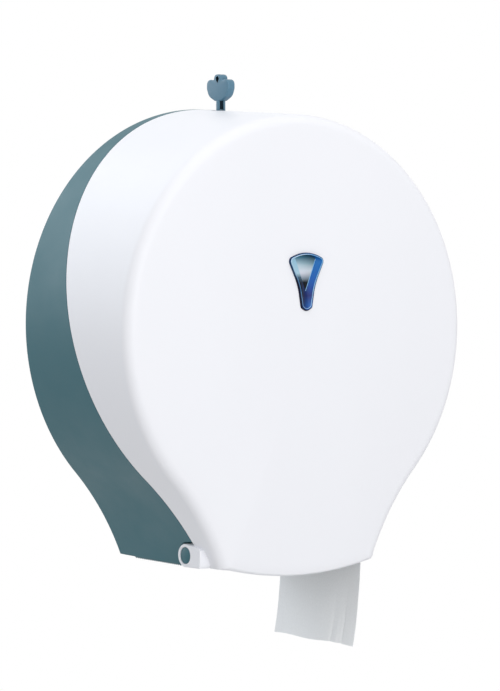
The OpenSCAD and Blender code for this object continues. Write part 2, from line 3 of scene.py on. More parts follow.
import bmesh
import bpy
import numpy as np
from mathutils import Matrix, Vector


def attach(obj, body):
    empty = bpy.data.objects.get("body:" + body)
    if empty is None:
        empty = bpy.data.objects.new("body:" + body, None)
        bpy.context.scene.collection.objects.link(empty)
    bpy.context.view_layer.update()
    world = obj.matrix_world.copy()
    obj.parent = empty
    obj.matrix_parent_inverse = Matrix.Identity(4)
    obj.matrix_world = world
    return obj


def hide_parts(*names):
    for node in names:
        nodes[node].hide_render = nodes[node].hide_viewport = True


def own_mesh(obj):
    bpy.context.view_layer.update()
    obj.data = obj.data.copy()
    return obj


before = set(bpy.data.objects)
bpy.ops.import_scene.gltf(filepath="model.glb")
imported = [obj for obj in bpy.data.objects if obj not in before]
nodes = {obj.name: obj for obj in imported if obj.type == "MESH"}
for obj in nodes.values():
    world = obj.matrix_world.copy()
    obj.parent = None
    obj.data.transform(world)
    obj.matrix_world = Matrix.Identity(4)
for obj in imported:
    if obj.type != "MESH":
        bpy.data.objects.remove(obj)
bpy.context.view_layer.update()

mm = 0.001  # the values below are in millimetres and are turned into metres by this
mergeDistance = 2e-6  # metres


# Quads between neighbouring rows and columns of a grid; a closed grid joins its last column to its first
def gridFaces(rows, cols, closed=False, start=0):
    last = cols if closed else cols - 1
    i, j = np.meshgrid(np.arange(rows - 1), np.arange(last), indexing="ij")
    k = (j + 1) % cols
    quads = np.stack([i * cols + j, i * cols + k, (i + 1) * cols + k, (i + 1) * cols + j], -1)
    return quads.reshape(-1, 4) + start


# A tube of rows, each a closed loop of cols points, with its first and last row filled as a face
def cappedFaces(rows, cols):
    first = list(range(cols))
    last = [(rows - 1) * cols + i for i in range(cols)]
    return gridFaces(rows, cols, True).tolist() + [first, last[::-1]]


# Several (points, faces) shapes as one, with the faces counted on
def joined(shapes):
    points, faces, n = [], [], 0
    for p, f in shapes:
        points.append(np.asarray(p, float).reshape(-1, 3))
        faces += [[i + n for i in face] for face in (f.tolist() if isinstance(f, np.ndarray) else f)]
        n += len(points[-1])
    return np.concatenate(points), faces


# The shape on the right side as it is, or mirrored to the left where side is -1
def onSide(shape, side):
    points, faces = shape
    return points * [side, 1, 1], faces


# Smooth shading, with sharp edges where two faces meet at more than the given angle
def smoothBy(obj, degrees):
    obj.data.shade_smooth()
    obj.data.set_sharp_from_angle(angle=math.radians(degrees))


# A mesh object from points in millimetres: doubles merged, and the faces of each closed shell turned outwards
def newPiece(name, shape, smooth=35.0, outwards=True):
    points, faces = shape
    mesh = bpy.data.meshes.new(name)
    used = faces.tolist() if isinstance(faces, np.ndarray) else faces
    mesh.from_pydata((np.asarray(points) * mm).tolist(), [], used)
    bm = bmesh.new()
    bm.from_mesh(mesh)
    bmesh.ops.remove_doubles(bm, verts=bm.verts, dist=mergeDistance)
    loose = [v for v in bm.verts if not v.link_faces]
    bmesh.ops.delete(bm, geom=loose, context="VERTS")
    if outwards:
        bmesh.ops.recalc_face_normals(bm, faces=bm.faces)
    bm.to_mesh(mesh)
    bm.free()
    obj = bpy.data.objects.new(name, mesh)
    bpy.context.collection.objects.link(obj)
    smoothBy(obj, smooth)
    return obj


# The piece takes the place of CAD nodes, rides on a body and gets its finish; without one it keeps its own
def place(obj, body, material, slot, *replaced):
    if material:
        obj.data.materials.clear()
        obj.data.materials.append(material)
    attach(obj, body)
    if replaced:
        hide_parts(*replaced)
    return obj


# Rounds the hard edges of a piece; the width is in millimetres
def softenEdges(obj, width, segments=2, angle=40.0):
    bevel = obj.modifiers.new("edges", "BEVEL")
    bevel.width, bevel.segments = width * mm, segments
    bevel.limit_method, bevel.angle_limit = "ANGLE", math.radians(angle)
    bevel.harden_normals = False
    return obj


# The piece with its modifiers worked into its mesh
def applied(obj):
    graph = bpy.context.evaluated_depsgraph_get()
    mesh = bpy.data.meshes.new_from_object(obj.evaluated_get(graph))
    obj.modifiers.clear()
    obj.data = mesh
    return obj


# Takes the cutter's shape out of the piece and removes the cutter; the new faces keep the cutter's material
def cut(obj, cutter):
    step = obj.modifiers.new("cut", "BOOLEAN")
    step.operation, step.object, step.solver = "DIFFERENCE", cutter, "EXACT"
    step.material_mode = "TRANSFER"
    applied(obj)
    bpy.data.objects.remove(cutter)
    return obj


# A profile of (radius, height) points turned about an axis; ends on the axis are closed to a pole
def lathe(profile, centre, axis, segments=64):
    axis = np.asarray(axis, float)
    slanting = [0.3, 0.5, 0.81]  # any direction that isn't an axis
    side = np.cross(axis, slanting)
    side /= np.linalg.norm(side)
    up = np.cross(axis, side)
    p = np.asarray(profile, float)
    t = np.linspace(0, 2 * np.pi, segments, endpoint=False)
    ring = side * np.cos(t)[:, None] + up * np.sin(t)[:, None]
    points = np.asarray(centre, float) + p[:, 0, None, None] * ring + p[:, 1, None, None] * axis
    return points.reshape(-1, 3), gridFaces(len(p), segments, True)


# Corners of a closed path rounded with arcs: each arc's middle lies on the corner's bisector
def roundPath(corners, radii, steps=8):
    corners = [np.asarray(c, float) for c in corners]
    out, n = [], len(corners)
    for i, corner in enumerate(corners):
        r = radii[i] if hasattr(radii, "__len__") else radii
        back, on = corners[i - 1] - corner, corners[(i + 1) % n] - corner
        back, on = back / np.linalg.norm(back), on / np.linalg.norm(on)
        half = math.acos(np.clip(back @ on, -1, 1)) / 2
        middle = corner + (back + on) / np.linalg.norm(back + on) * r / math.sin(half)
        first = corner + back * r / math.tan(half) - middle
        last = corner + on * r / math.tan(half) - middle
        start = math.atan2(first[1], first[0])
        sweep = (math.atan2(last[1], last[0]) - start + math.pi) % (2 * math.pi) - math.pi
        for k in range(steps + 1):
            t = start + sweep * k / steps
            out.append(middle + r * np.array([math.cos(t), math.sin(t)]))
    return np.array(out)


# A closed outline in the plane, moved inwards along its normals
def drawnIn(outline, distance):
    ahead = np.roll(outline, -1, 0) - np.roll(outline, 1, 0)
    ahead /= np.linalg.norm(ahead, axis=1)[:, None] + 1e-12
    turn = np.sum(np.cross(outline, np.roll(outline, -1, 0)))
    normal = np.stack([-ahead[:, 1], ahead[:, 0]], 1) * np.sign(turn)
    return outline + normal * distance


# A plate with rounded edges: the outline stands in the plane of u and v, and the thickness runs along w.
# Rings of the outline are drawn in by a quarter circle at both faces, and each face closes to a pole.
def plate(outline, thickness, origin, u, v, w, edge=0.5, steps=3):
    a = np.linspace(0, np.pi / 2, steps + 1)
    low = [(edge * (1 - math.sin(t)), edge * (1 - math.cos(t))) for t in a]
    levels = low + [(inset, thickness - h) for inset, h in reversed(low)]
    pole = np.tile(outline.mean(0), (len(outline), 1))
    rings = [pole] + [drawnIn(outline, inset) for inset, _ in levels] + [pole]
    heights = [levels[0][1]] + [h for _, h in levels] + [levels[-1][1]]
    origin, u, v, w = (np.asarray(q, float) for q in (origin, u, v, w))
    points = [origin + r[:, :1] * u + r[:, 1:] * v + h * w for r, h in zip(rings, heights)]
    return np.concatenate(points), gridFaces(len(rings), len(outline), True)


# Short calls for building a material's node tree
class Nodes:
    def __init__(self, name):
        self.material = bpy.data.materials.new(name)
        self.material.use_nodes = True
        self.tree = self.material.node_tree
        self.shader = self.tree.nodes["Principled BSDF"]
        self.coords = self.tree.nodes.new("ShaderNodeTexCoord")

    def add(self, kind, **values):
        node = self.tree.nodes.new("ShaderNode" + kind)
        for key, value in values.items():
            setattr(node, key, value)
        return node

    def link(self, a, b):
        self.tree.links.new(a, b)

    # Noise over the point's place on the piece; a stretch below 1 draws it out along that axis
    def noise(self, scale, detail=3.0, roughness=0.5, stretch=(1, 1, 1)):
        mapping = self.add("Mapping")
        mapping.inputs["Scale"].default_value = stretch
        texture = self.add("TexNoise")
        texture.inputs["Scale"].default_value = scale
        texture.inputs["Detail"].default_value = detail
        texture.inputs["Roughness"].default_value = roughness
        self.link(self.coords.outputs["Object"], mapping.inputs["Vector"])
        self.link(mapping.outputs["Vector"], texture.inputs["Vector"])
        return texture.outputs["Fac"]

    # X, Y and Z of the point on the piece
    def axes(self):
        split = self.add("SeparateXYZ")
        self.link(self.coords.outputs["Object"], split.inputs["Vector"])
        return split.outputs

    # Colours, or plain values, at places 0 to 1 of the source
    def ramp(self, source, stops):
        ramp = self.add("ValToRGB")
        elements = ramp.color_ramp.elements
        elements[0].position, elements[1].position = stops[0][0], stops[-1][0]
        for at, _ in stops[1:-1]:
            elements.new(at)
        for element, (_, colour) in zip(elements, stops):
            element.color = (*colour, 1) if hasattr(colour, "__len__") else (colour, colour, colour, 1)
        self.link(source, ramp.inputs["Fac"])
        return ramp.outputs["Color"]

    # Relief from the source's height (distance in metres), laid over another relief where one is given
    def bump(self, source, strength, distance, below=None):
        bump = self.add("Bump")
        bump.inputs["Strength"].default_value = strength
        bump.inputs["Distance"].default_value = distance
        self.link(source, bump.inputs["Height"])
        if below is not None:
            self.link(below, bump.inputs["Normal"])
        return bump.outputs["Normal"]

    # Constants on the shader's own sockets
    def set(self, **values):
        for key, value in values.items():
            self.shader.inputs[key.replace("_", " ")].default_value = value


# Colour written as it is seen on a screen, 0 to 255, turned into linear light
def seen(r, g, b):
    c = np.array([r, g, b]) / 255
    return tuple(np.where(c <= 0.04045, c / 12.92, ((c + 0.055) / 1.055) ** 2.4))


# Moulded plastic: a fine grain in the tool's surface, long soft flow marks, and patches a little smoother
def mouldedPlastic(name, colour, spread, roughness, grain, wave=0.08, specular=0.5):
    n = Nodes(name)
    flow = n.noise(7.0, 3.0, 0.45, (1, 1, 0.35))
    light = np.array(colour)
    tone = n.ramp(flow, [(0.3, light * (1 - spread)), (0.7, light * (1 + spread))])
    n.link(tone, n.shader.inputs["Base Color"])
    patches = n.ramp(n.noise(34.0, 4.0, 0.6), [(0.3, roughness[0]), (0.75, roughness[1])])
    n.link(patches, n.shader.inputs["Roughness"])
    coarse = n.bump(n.noise(24.0, 2.0), wave, 0.0004)
    fine = n.bump(n.noise(1900.0, 2.0), grain, 0.00005, coarse)
    n.link(fine, n.shader.inputs["Normal"])
    n.set(IOR=1.5, Specular_IOR_Level=specular)
    return n.material


# Metal with fine scratches that run one way
def steel(name, colour, roughness, stretch):
    n = Nodes(name)
    scratches = n.noise(900.0, 4.0, 0.65, stretch)
    light = np.array(colour)
    n.link(n.ramp(scratches, [(0.3, light * 0.86), (0.7, light * 1.05)]), n.shader.inputs["Base Color"])
    gloss = n.ramp(scratches, [(0.25, roughness - 0.08), (0.75, roughness + 0.12)])
    n.link(gloss, n.shader.inputs["Roughness"])
    n.link(n.bump(scratches, 0.18, 0.00003), n.shader.inputs["Normal"])
    n.set(Metallic=1.0)
    return n.material


# Clear tinted plastic with painted light: painted shade and reflections change its colour with height and between
# left and right.
# Each side has its own ramp over the height, and the two are mixed across the given half width (metres).
def tintWithPaintedLight(name, left, right, halfWidth, roughness, clear):
    n = Nodes(name)
    axes = n.axes()
    shares = []
    for axis, ends in (("Z", windowSpan), ("X", (-halfWidth, halfWidth))):
        share = n.add("MapRange")
        share.inputs["From Min"].default_value, share.inputs["From Max"].default_value = ends
        n.link(axes[axis], share.inputs["Value"])
        shares.append(share.outputs["Result"])
    blend = n.add("Mix", data_type="RGBA")
    n.link(shares[1], blend.inputs["Factor"])
    n.link(n.ramp(shares[0], left), blend.inputs[6])
    n.link(n.ramp(shares[0], right), blend.inputs[7])
    n.link(blend.outputs[2], n.shader.inputs["Base Color"])
    n.link(n.bump(n.noise(60.0, 2.0), 0.08, 0.0002), n.shader.inputs["Normal"])
    n.set(Roughness=roughness, IOR=1.49, Transmission_Weight=clear, Specular_IOR_Level=0.12)
    return n.material


# Soft paper: loose fibres, fine crepe lines across the web and a faint emboss
def tissuePaper(name, colour):
    n = Nodes(name)
    fibres = n.noise(700.0, 5.0, 0.7)
    crepe = n.noise(260.0, 3.0, 0.6, (1, 0.12, 1))
    light = np.array(colour)
    tone = n.ramp(fibres, [(0.3, light * 0.95), (0.7, np.minimum(light * 1.02, 1))])
    n.link(tone, n.shader.inputs["Base Color"])
    low = n.bump(crepe, 0.5, 0.0003)
    n.link(n.bump(fibres, 0.35, 0.0001, low), n.shader.inputs["Normal"])
    n.set(Roughness=0.92, Sheen_Weight=0.25, Sheen_Roughness=0.5, Specular_IOR_Level=0.2)
    return n.material


# The side of a wound roll: thin rings of paper about the spindle, from noise over the distance to its axis
def woundPaper(name, colour):
    n = Nodes(name)
    axes = n.axes()
    flat = n.add("CombineXYZ")
    n.link(axes["X"], flat.inputs["X"])
    n.link(axes["Z"], flat.inputs["Y"])
    radius = n.add("VectorMath", operation="LENGTH")
    n.link(flat.outputs["Vector"], radius.inputs[0])
    rings = n.add("TexNoise", noise_dimensions="1D")
    rings.inputs["Scale"].default_value = 900.0
    rings.inputs["Detail"].default_value = 4.0
    n.link(radius.outputs["Value"], rings.inputs["W"])
    light = np.array(colour)
    tone = n.ramp(rings.outputs["Fac"], [(0.3, light * 0.86), (0.65, light)])
    n.link(tone, n.shader.inputs["Base Color"])
    low = n.bump(rings.outputs["Fac"], 0.6, 0.0003)
    n.link(n.bump(n.noise(800.0, 4.0, 0.7), 0.3, 0.0001, low), n.shader.inputs["Normal"])
    n.set(Roughness=0.93, Sheen_Weight=0.2, Specular_IOR_Level=0.2)
    return n.material


# Grey-brown board with fibres and darker specks
def board(name, colour):
    n = Nodes(name)
    fibres = n.noise(420.0, 6.0, 0.7, (1, 0.3, 1))
    light = np.array(colour)
    tone = n.ramp(fibres, [(0.25, light * 0.7), (0.5, light), (0.8, light * 1.2)])
    n.link(tone, n.shader.inputs["Base Color"])
    n.link(n.bump(fibres, 0.4, 0.0002), n.shader.inputs["Normal"])
    n.set(Roughness=0.9, Specular_IOR_Level=0.2)
    return n.material


tealPlastic = mouldedPlastic("tealPlastic", seen(45, 96, 107), 0.04, (0.42, 0.52), 0.10, 0.10, 0.45)
whitePlastic = mouldedPlastic("whitePlastic", seen(237, 238, 243), 0.008, (0.36, 0.44), 0.03, 0.08, 0.25)
keyPlastic = mouldedPlastic("keyPlastic", seen(80, 120, 142), 0.10, (0.28, 0.4), 0.08)
# Painted shade: a dark teal laid on the walls of the key's eye and on the groove's floor sheet, where shade falls
keyPaintedShade = mouldedPlastic("keyPaintedShade", seen(10, 34, 46), 0.05, (0.5, 0.6), 0.08, 0.08, 0.1)
windowSpan = (0.010, 0.057)  # heights in metres, from the window's foot to its crown: 0 and 1 on its ramps
# The frame: a blue tint, with painted shade darkening its lower part, most on the left, and a pale painted reflection
# on the upper left slope
blueTintPaintedLight = tintWithPaintedLight(
    "blueTintPaintedLight",
    [(0.0, seen(16, 40, 100)), (0.15, seen(6, 16, 50)), (0.46, seen(4, 12, 34)), (0.55, seen(60, 90, 110)),
     (0.62, seen(170, 205, 222)), (0.85, seen(150, 196, 220)), (0.95, seen(50, 110, 165))],
    [(0.0, seen(30, 80, 160)), (0.1, seen(40, 100, 180)), (0.25, seen(30, 46, 120)), (0.45, seen(4, 80, 164)),
     (0.8, seen(0, 102, 176)), (1.0, seen(12, 66, 144))],
    0.004, 0.08, 0.05)
# Painted shade: the near-black navy of the ring round the window, where its outer edge lies in shade
rimPaintedShade = tintWithPaintedLight(
    "rimPaintedShade",
    [(0.0, seen(6, 14, 44)), (0.5, seen(6, 16, 46)), (0.6, seen(24, 58, 92)), (1.0, seen(8, 40, 88))],
    [(0.0, seen(8, 20, 62)), (0.5, seen(4, 30, 80)), (1.0, seen(6, 34, 82))],
    0.006, 0.15, 0.0)
# Painted highlight: pale blues for the fine beads along the window's crest and pane edge, where light glints
edgePaintedHighlight = tintWithPaintedLight(
    "edgePaintedHighlight",
    [(0.1, seen(90, 140, 200)), (0.5, seen(90, 140, 185)), (0.65, seen(170, 205, 232)),
     (0.9, seen(196, 222, 242))],
    [(0.0, seen(176, 212, 242)), (0.5, seen(150, 205, 238)), (1.0, seen(126, 184, 228))],
    0.006, 0.1, 0.1)
# Painted reflection and shade: the pane runs from near-black at its tip to a pale reflection in the middle and dark
# teal at the top
panePaintedLight = tintWithPaintedLight(
    "panePaintedLight",
    [(0.3, seen(2, 6, 12)), (0.47, seen(8, 18, 26)), (0.54, seen(146, 162, 178)), (0.62, seen(216, 218, 230)),
     (0.75, seen(186, 208, 220)), (0.88, seen(66, 124, 148)), (0.97, seen(12, 56, 92))],
    [(0.3, seen(2, 6, 12)), (0.48, seen(6, 14, 20)), (0.56, seen(120, 132, 144)), (0.66, seen(192, 202, 212)),
     (0.78, seen(92, 128, 142)), (0.88, seen(10, 34, 48)), (0.97, seen(4, 20, 38))],
    0.012, 0.12, 0.0)
brightSteel = steel("brightSteel", seen(196, 198, 202), 0.28, (0.2, 1, 1))
paper = tissuePaper("paper", seen(249, 251, 253))
rollPaper = woundPaper("rollPaper", seen(232, 233, 234))
coreBoard = board("coreBoard", seen(176, 150, 118))
print("materials made")


casing = dict(
    radius=168.0, depth=128.5, wall=3.0, edge=9.0, dome=6.5, domeSpan=155.0, draft=0.02,
    neckAngle=math.radians(43.6), neckRadius=220.0, foot=-181.7, footDrop=3.9, taperBelow=4.3,
    soleSag=9.0, soleRoll=2.5, faceSole=0.06, baseSole=0.04, plate=3.0, middleZ=-10.0, gap=0.6,
)
parting = dict(  # control points of the parting curve in the side view, as (y, z), and where it runs on to
    top=(-5.0, 168.0), bow=(-14.0, 150.0), run=(-69.0, -40.2), end=(-102.0, -167.7),
    above=(-5.0, 400.0), below=(-107.0, -400.0),
)
hinge = dict(y=-94.0, z=-176.0, barrel=9.0, barrelOut=86.03, barrelLength=11.4, pin=6.5, ear=3.8, gap=1.0,
             shank=4.0, notch=10.3, web=4.0, blend=0.8, clear=5.0, arm=20.5, armStraight=18.0, armFall=4.0,
             boreFit=0.05, round=0.5, inWall=1.5, sunk=0.4)
shellSmooth = 32  # degrees
settleSteps = 30


# Point of the casing's outline at depth y (negative forwards), drawn in by inset. The size of s runs 0 to 1 down
# the circle from the top, 1 to 2 down the hollow neck and 2 to 3 along the sagging sole to its middle; a negative
# s is the left half.
def outlineAt(s, y, inset=0.0, lift=0.0):
    c = casing
    s, y, inset, lift = np.broadcast_arrays(*(np.asarray(q, float) for q in (s, y, inset, lift)))
    shrink = 1 + c["draft"] * y / c["depth"]
    middle = (1 - shrink) * (c["foot"] - c["taperBelow"])
    foot = c["foot"] + c["footDrop"] * y / c["depth"] + lift
    part = np.abs(s)
    down = np.pi / 2 - (np.pi / 2 + c["neckAngle"]) * np.clip(part, 0, 1)
    r = c["radius"] * shrink - inset
    reach = (c["radius"] + c["neckRadius"]) * shrink
    neckX, neckZ = reach * math.cos(c["neckAngle"]), middle - reach * math.sin(c["neckAngle"])
    n = c["neckRadius"] * shrink + inset
    last = np.arcsin((foot - neckZ) / n)
    turn = c["neckAngle"] + (last - c["neckAngle"]) * np.clip(part - 1, 0, 1)
    footX = neckX - n * np.cos(last)
    u = 1 - np.clip(part - 2, 0, 1)
    sole = foot - c["soleSag"] * (1 - u * u)
    x = np.where(part <= 1, r * np.cos(down), np.where(part <= 2, neckX - n * np.cos(turn), footX * u))
    z = np.where(part <= 1, middle + r * np.sin(down), np.where(part <= 2, neckZ + n * np.sin(turn), sole))
    return x * np.where(s < 0, -1, 1), z


# Depth of the parting curve at height z: a cubic over its control points, with a straight run at both ends
def partingY(z):
    p = {name: np.array(point) for name, point in parting.items()}
    t = np.linspace(0, 1, 400)[:, None]
    curve = (p["top"] * (1 - t) ** 3 + 3 * p["bow"] * t * (1 - t) ** 2
             + 3 * p["run"] * t * t * (1 - t) + p["end"] * t ** 3)
    curve = np.concatenate([[p["above"]], curve, [p["below"]]])[::-1]
    return np.interp(z, curve[:, 1], curve[:, 0])


# Front end of the base's side wall at height z: the parting curve, and round the hinge a hollow and an upright edge
def baseEndY(z):
    h = hinge
    hollow = h["y"] + np.sqrt(np.clip(h["notch"] ** 2 - (z - h["z"]) ** 2, 0, None))
    low = np.where(z > h["z"], hollow, h["y"] + h["notch"])
    share = np.clip((z - h["z"] - h["notch"]) / h["blend"] + 0.5, 0, 1)
    return low * (1 - share) + partingY(z) * share


# Rear end of the cover's side wall at height z: a gap ahead of the parting curve, and clear of the hinge beside it
def coverEndY(z):
    h = hinge
    y = partingY(z) - casing["gap"]
    return np.where(z > h["z"] + h["barrel"], y, np.minimum(y, h["y"] - h["clear"]))


# Columns round the whole casing: close together at the bends, without the closing one
def columns(circle=130, neck=60, sole=26):
    parts = [np.linspace(0, 1, circle + 1), 1 + np.linspace(0, 1, neck + 1)[1:], 2 + np.linspace(0, 1, sole + 1)[1:]]
    half = np.concatenate(parts)
    return np.concatenate([half, -half[-2:0:-1]])


around = columns()
sideColumns = np.abs(around) <= 2.0 + 1e-9


# How far each column is into the sole: 0 at the walls, 1 from a short stretch on
def inSole(stretch):
    return np.clip((np.abs(around) - 2) / stretch, 0, 1)


# Depth at which each column meets a line of the side view: it goes half way to the line's depth, over and over
def settled(s, depth, inset, lineAt):
    y = np.full_like(s, depth)
    for _ in range(settleSteps):
        _, z = outlineAt(s, y, inset)
        y = 0.5 * y + 0.5 * lineAt(z)
    return y


# A side wall's rows from its end line to depth y1, evenly spaced on each column
def wallRows(endLine, y1, inset, rows):
    t = np.linspace(0, 1, rows)[:, None]
    depth = settled(around, y1, inset, endLine) * (1 - t) + y1 * t
    x, z = outlineAt(around[None, :], depth, inset)
    return np.stack([x, depth, z], -1)


# Rows from a ring to the pole inside it: x and z shrink evenly, and y rises forwards as a parabola
def toPole(ring, rows, rise=0.0):
    q = np.linspace(1, 0, rows + 1)[:, None, None]
    x, y, z = (ring[None, :, i:i + 1] for i in range(3))
    middle = casing["middleZ"]
    return np.concatenate([x * q, y - rise * (1 - q * q), middle + (z - middle) * q], -1)


# One skin of a moulding: wall rows exist only beside the side columns, cap rows run all round and close at a pole
def skinFaces(wallCount, capCount):
    n = len(around)
    wall = gridFaces(wallCount, n, True)
    column = wall[:, 0] % n
    keep = sideColumns[column] & sideColumns[(column + 1) % n]
    cap = gridFaces(capCount, n, True, (wallCount - 1) * n)
    return np.concatenate([wall[keep], cap])


# Two skins with the same rows, joined along their open edges, which are those that only one face uses
def shellOf(outer, inner, wallCount):
    n = len(around)
    faces = skinFaces(wallCount, outer.shape[0] - wallCount + 1)
    count = outer.shape[0] * n
    pole = (outer.shape[0] - 1) * n  # the last row is one point
    edges = np.concatenate([faces[:, [k, (k + 1) % 4]] for k in range(4)])
    _, where, uses = np.unique(np.sort(edges, 1), axis=0, return_index=True, return_counts=True)
    rim = edges[where[uses == 1]]
    rim = rim[~((rim[:, 0] >= pole) & (rim[:, 1] >= pole))]
    walls = np.stack([rim[:, 1], rim[:, 0], rim[:, 0] + count, rim[:, 1] + count], 1)
    points = np.concatenate([outer.reshape(-1, 3), inner.reshape(-1, 3)])
    return points, np.concatenate([faces, faces[:, ::-1] + count, walls])


# Rows of the rounded front edge and the domed face, a distance t inside the surface
def faceRows(t, edgeRows=10, domeRows=26):
    c, edge = casing, casing["edge"]
    meet = math.pi / 2 - math.atan(2 * c["dome"] / c["domeSpan"])  # the arc ends where the dome has its slope
    noWall = math.asin((edge - c["wall"]) / edge)  # the sole has no wall, so its arc starts further round
    share = np.linspace(0, 1, edgeRows + 1)[:, None]
    a = (inSole(c["faceSole"]) * noWall)[None, :] * (1 - share) + meet * share
    y = -(c["depth"] - edge + (edge - t) * np.sin(a))
    inset = edge - (edge - t) * np.cos(a)
    lift = (edge - edge * np.cos(a)) * c["soleRoll"] / edge
    x, z = outlineAt(around[None, :], y, inset, lift)
    rows = np.stack([x, y, z], -1)
    return np.concatenate([rows, toPole(rows[-1], domeRows, c["dome"])[1:]])


coverSet = dict(wallRows=30, bevel=0.45, guideRadius=30.0, guideWall=2.0, guideFrom=-121.0, guideTo=-132.5,
                landSkirt=5.0, landFront=-132.3, padWidth=16.0, padDepth=14.0, padFoot=157.99, padIn=1.5,
                padGrid=(21, 9), fittingBevel=0.3, windowCut=(-118, -145))
windowSet = dict(halfWidth=17.5, shoulder=50.0, height=39.5, foot=5.2, crown=7.0, waist=0.46, waistDrop=20.0,
                 skirt=4.0, land=-128.3, flange=2.0, front=-135.9, crest=1.3, crestDrop=0.12, hollow=0.25,
                 paneIn=7.4, paneTip=24.5, paneCrown=2.6, paneHigh=0.8, paneEnd=3.5, paneMiddle=8.0,
                 paneBack=0.35, paneProud=0.1, paneEdge=0.15, bend=1.5, recess=2.2, lineDeep=0.35, fit=0.3,
                 crestHighlight=0.32, paneHighlight=0.3, highlightSunk=0.1)
lockSet = dict(y=-27.4, top=166.49, sleeve=8.0, fit=0.05, cut=(140, 190))
armSet = dict(edge=1.2, topFall=9.5, footRise=3.5, bend=1.15, thinFrom=8.0, thinOver=4.0, behind=0.6,
              least=0.2, rows=34)


# Closed outline of the level window, grown outwards; it has the same number of points at every size
def windowOutline(grow=0.0, steps=10):
    k, g = windowSet, grow
    w, z, foot = k["halfWidth"], k["shoulder"], k["foot"]
    low, waistX, waistZ = z - k["height"], k["waist"] * w + g, z - k["waistDrop"]
    corners = [(-w - g, z + 0.3 * g), (0, z + k["crown"] + g), (w + g, z + 0.3 * g), (waistX, waistZ),
               (foot + g, low + 2 - g), (0, low - 0.7 - g), (-foot - g, low + 2 - g), (-waistX, waistZ)]
    return roundPath(corners, [3.5 + g, 30, 3.5 + g, 50, 3 + g, 5 + g, 3 + g, 50], steps)


# A block from an outline in the front view, from depth y0 forwards to y1
def frontPrism(outline, y0, y1, edge=1e-4, steps=1):
    return plate(outline, y0 - y1, (0, y0, 0), (1, 0, 0), (0, 0, 1), (0, -1, 0), edge, steps)


# Points of the front view set at a depth
def atDepth(flat, y):
    return np.stack([flat[:, 0], np.broadcast_to(y, len(flat)), flat[:, 1]], 1)


# A closed ring of rows, each the window's outline at its own growth and depth
def windowRing(rows):
    points = [atDepth(windowOutline(grow), y) for grow, y in rows + rows[:1]]
    return np.concatenate(points), gridFaces(len(points), len(points[0]), True)


# Cutter for the hole of the lock's sleeve: a round bar that stands upright through the crown
def sleeveHole():
    r, (low, high) = lockSet["sleeve"] + lockSet["fit"], lockSet["cut"]
    return lathe([(0, low), (r, low), (r, high), (0, high)], (0, lockSet["y"], 0), (0, 0, 1), 72)


# The cover's moulding: an outer and an inner skin of wall, edge and dome, cut by the window and the lock
def buildCover():
    c, k = casing, coverSet
    skins = []
    for t in (0.0, c["wall"]):
        side = wallRows(coverEndY, c["edge"] - c["depth"], t, k["wallRows"])
        skins.append(np.concatenate([side[:-1], faceRows(t)]))
    cover = newPiece("front_cover_moulding", shellOf(skins[0], skins[1], k["wallRows"]), shellSmooth)
    opening = frontPrism(windowOutline(windowSet["fit"]), *k["windowCut"])
    cut(cover, newPiece("openings", joined([opening, sleeveHole()])))
    smoothBy(cover, shellSmooth)
    return softenEdges(cover, k["bevel"], 2, 50)


# Inside the cover's face: a turned ring about the spindle, and the land that carries the window
def buildCoverFittings():
    k, w = coverSet, windowSet
    r, start, end = k["guideRadius"], k["guideFrom"], k["guideTo"]
    inner = r - k["guideWall"]
    guide = lathe([(r, start), (r, end), (inner, end), (inner, start), (r, start)], (0, 0, 0), (0, 1, 0), 96)
    land = windowRing([(w["fit"], w["land"]), (k["landSkirt"], w["land"]), (k["landSkirt"], k["landFront"]),
                       (w["fit"], k["landFront"])])
    return newPiece("cover_guide_and_land", joined([guide, land]), 30)


# The lock's pad under the crown: a grid above, the same grid flat below, and a wall round both; the top follows
# the crown's circle inside its thickness, and the sleeve's hole goes through
def buildLockPad():
    k, r = coverSet, casing["radius"]
    rows, cols = k["padGrid"]
    x, y = np.meshgrid(np.linspace(-k["padWidth"], k["padWidth"], rows),
                       lockSet["y"] + np.linspace(k["padDepth"], -k["padDepth"], cols), indexing="ij")
    top = outlineAt(0, y, k["padIn"])[1] - (r - np.sqrt(r ** 2 - x ** 2))
    levels = [np.stack([x, y, z], -1).reshape(-1, 3) for z in (top, np.full_like(x, k["padFoot"]))]
    point = np.arange(x.size).reshape(rows, cols)
    edge = np.concatenate([point[0], point[1:, -1], point[-1, -2::-1], point[-2:0:-1, 0]])
    walls = np.stack([edge, np.roll(edge, -1), np.roll(edge, -1) + x.size, edge + x.size], 1)
    grid = gridFaces(rows, cols)
    faces = np.concatenate([grid, grid[:, ::-1] + x.size, walls])
    pad = newPiece("cover_lock_pad", (np.concatenate(levels), faces), 30)
    cut(pad, newPiece("sleeveHole", sleeveHole()))
    smoothBy(pad, 30)
    return pad


# Height and half width of the neck at depth y, drawn in by inset, for looking up x by z
def neckCurve(y, inset=0.0):
    s = np.linspace(2.0, 1.0, 60)
    x, z = outlineAt(s, y, inset)
    return z, x


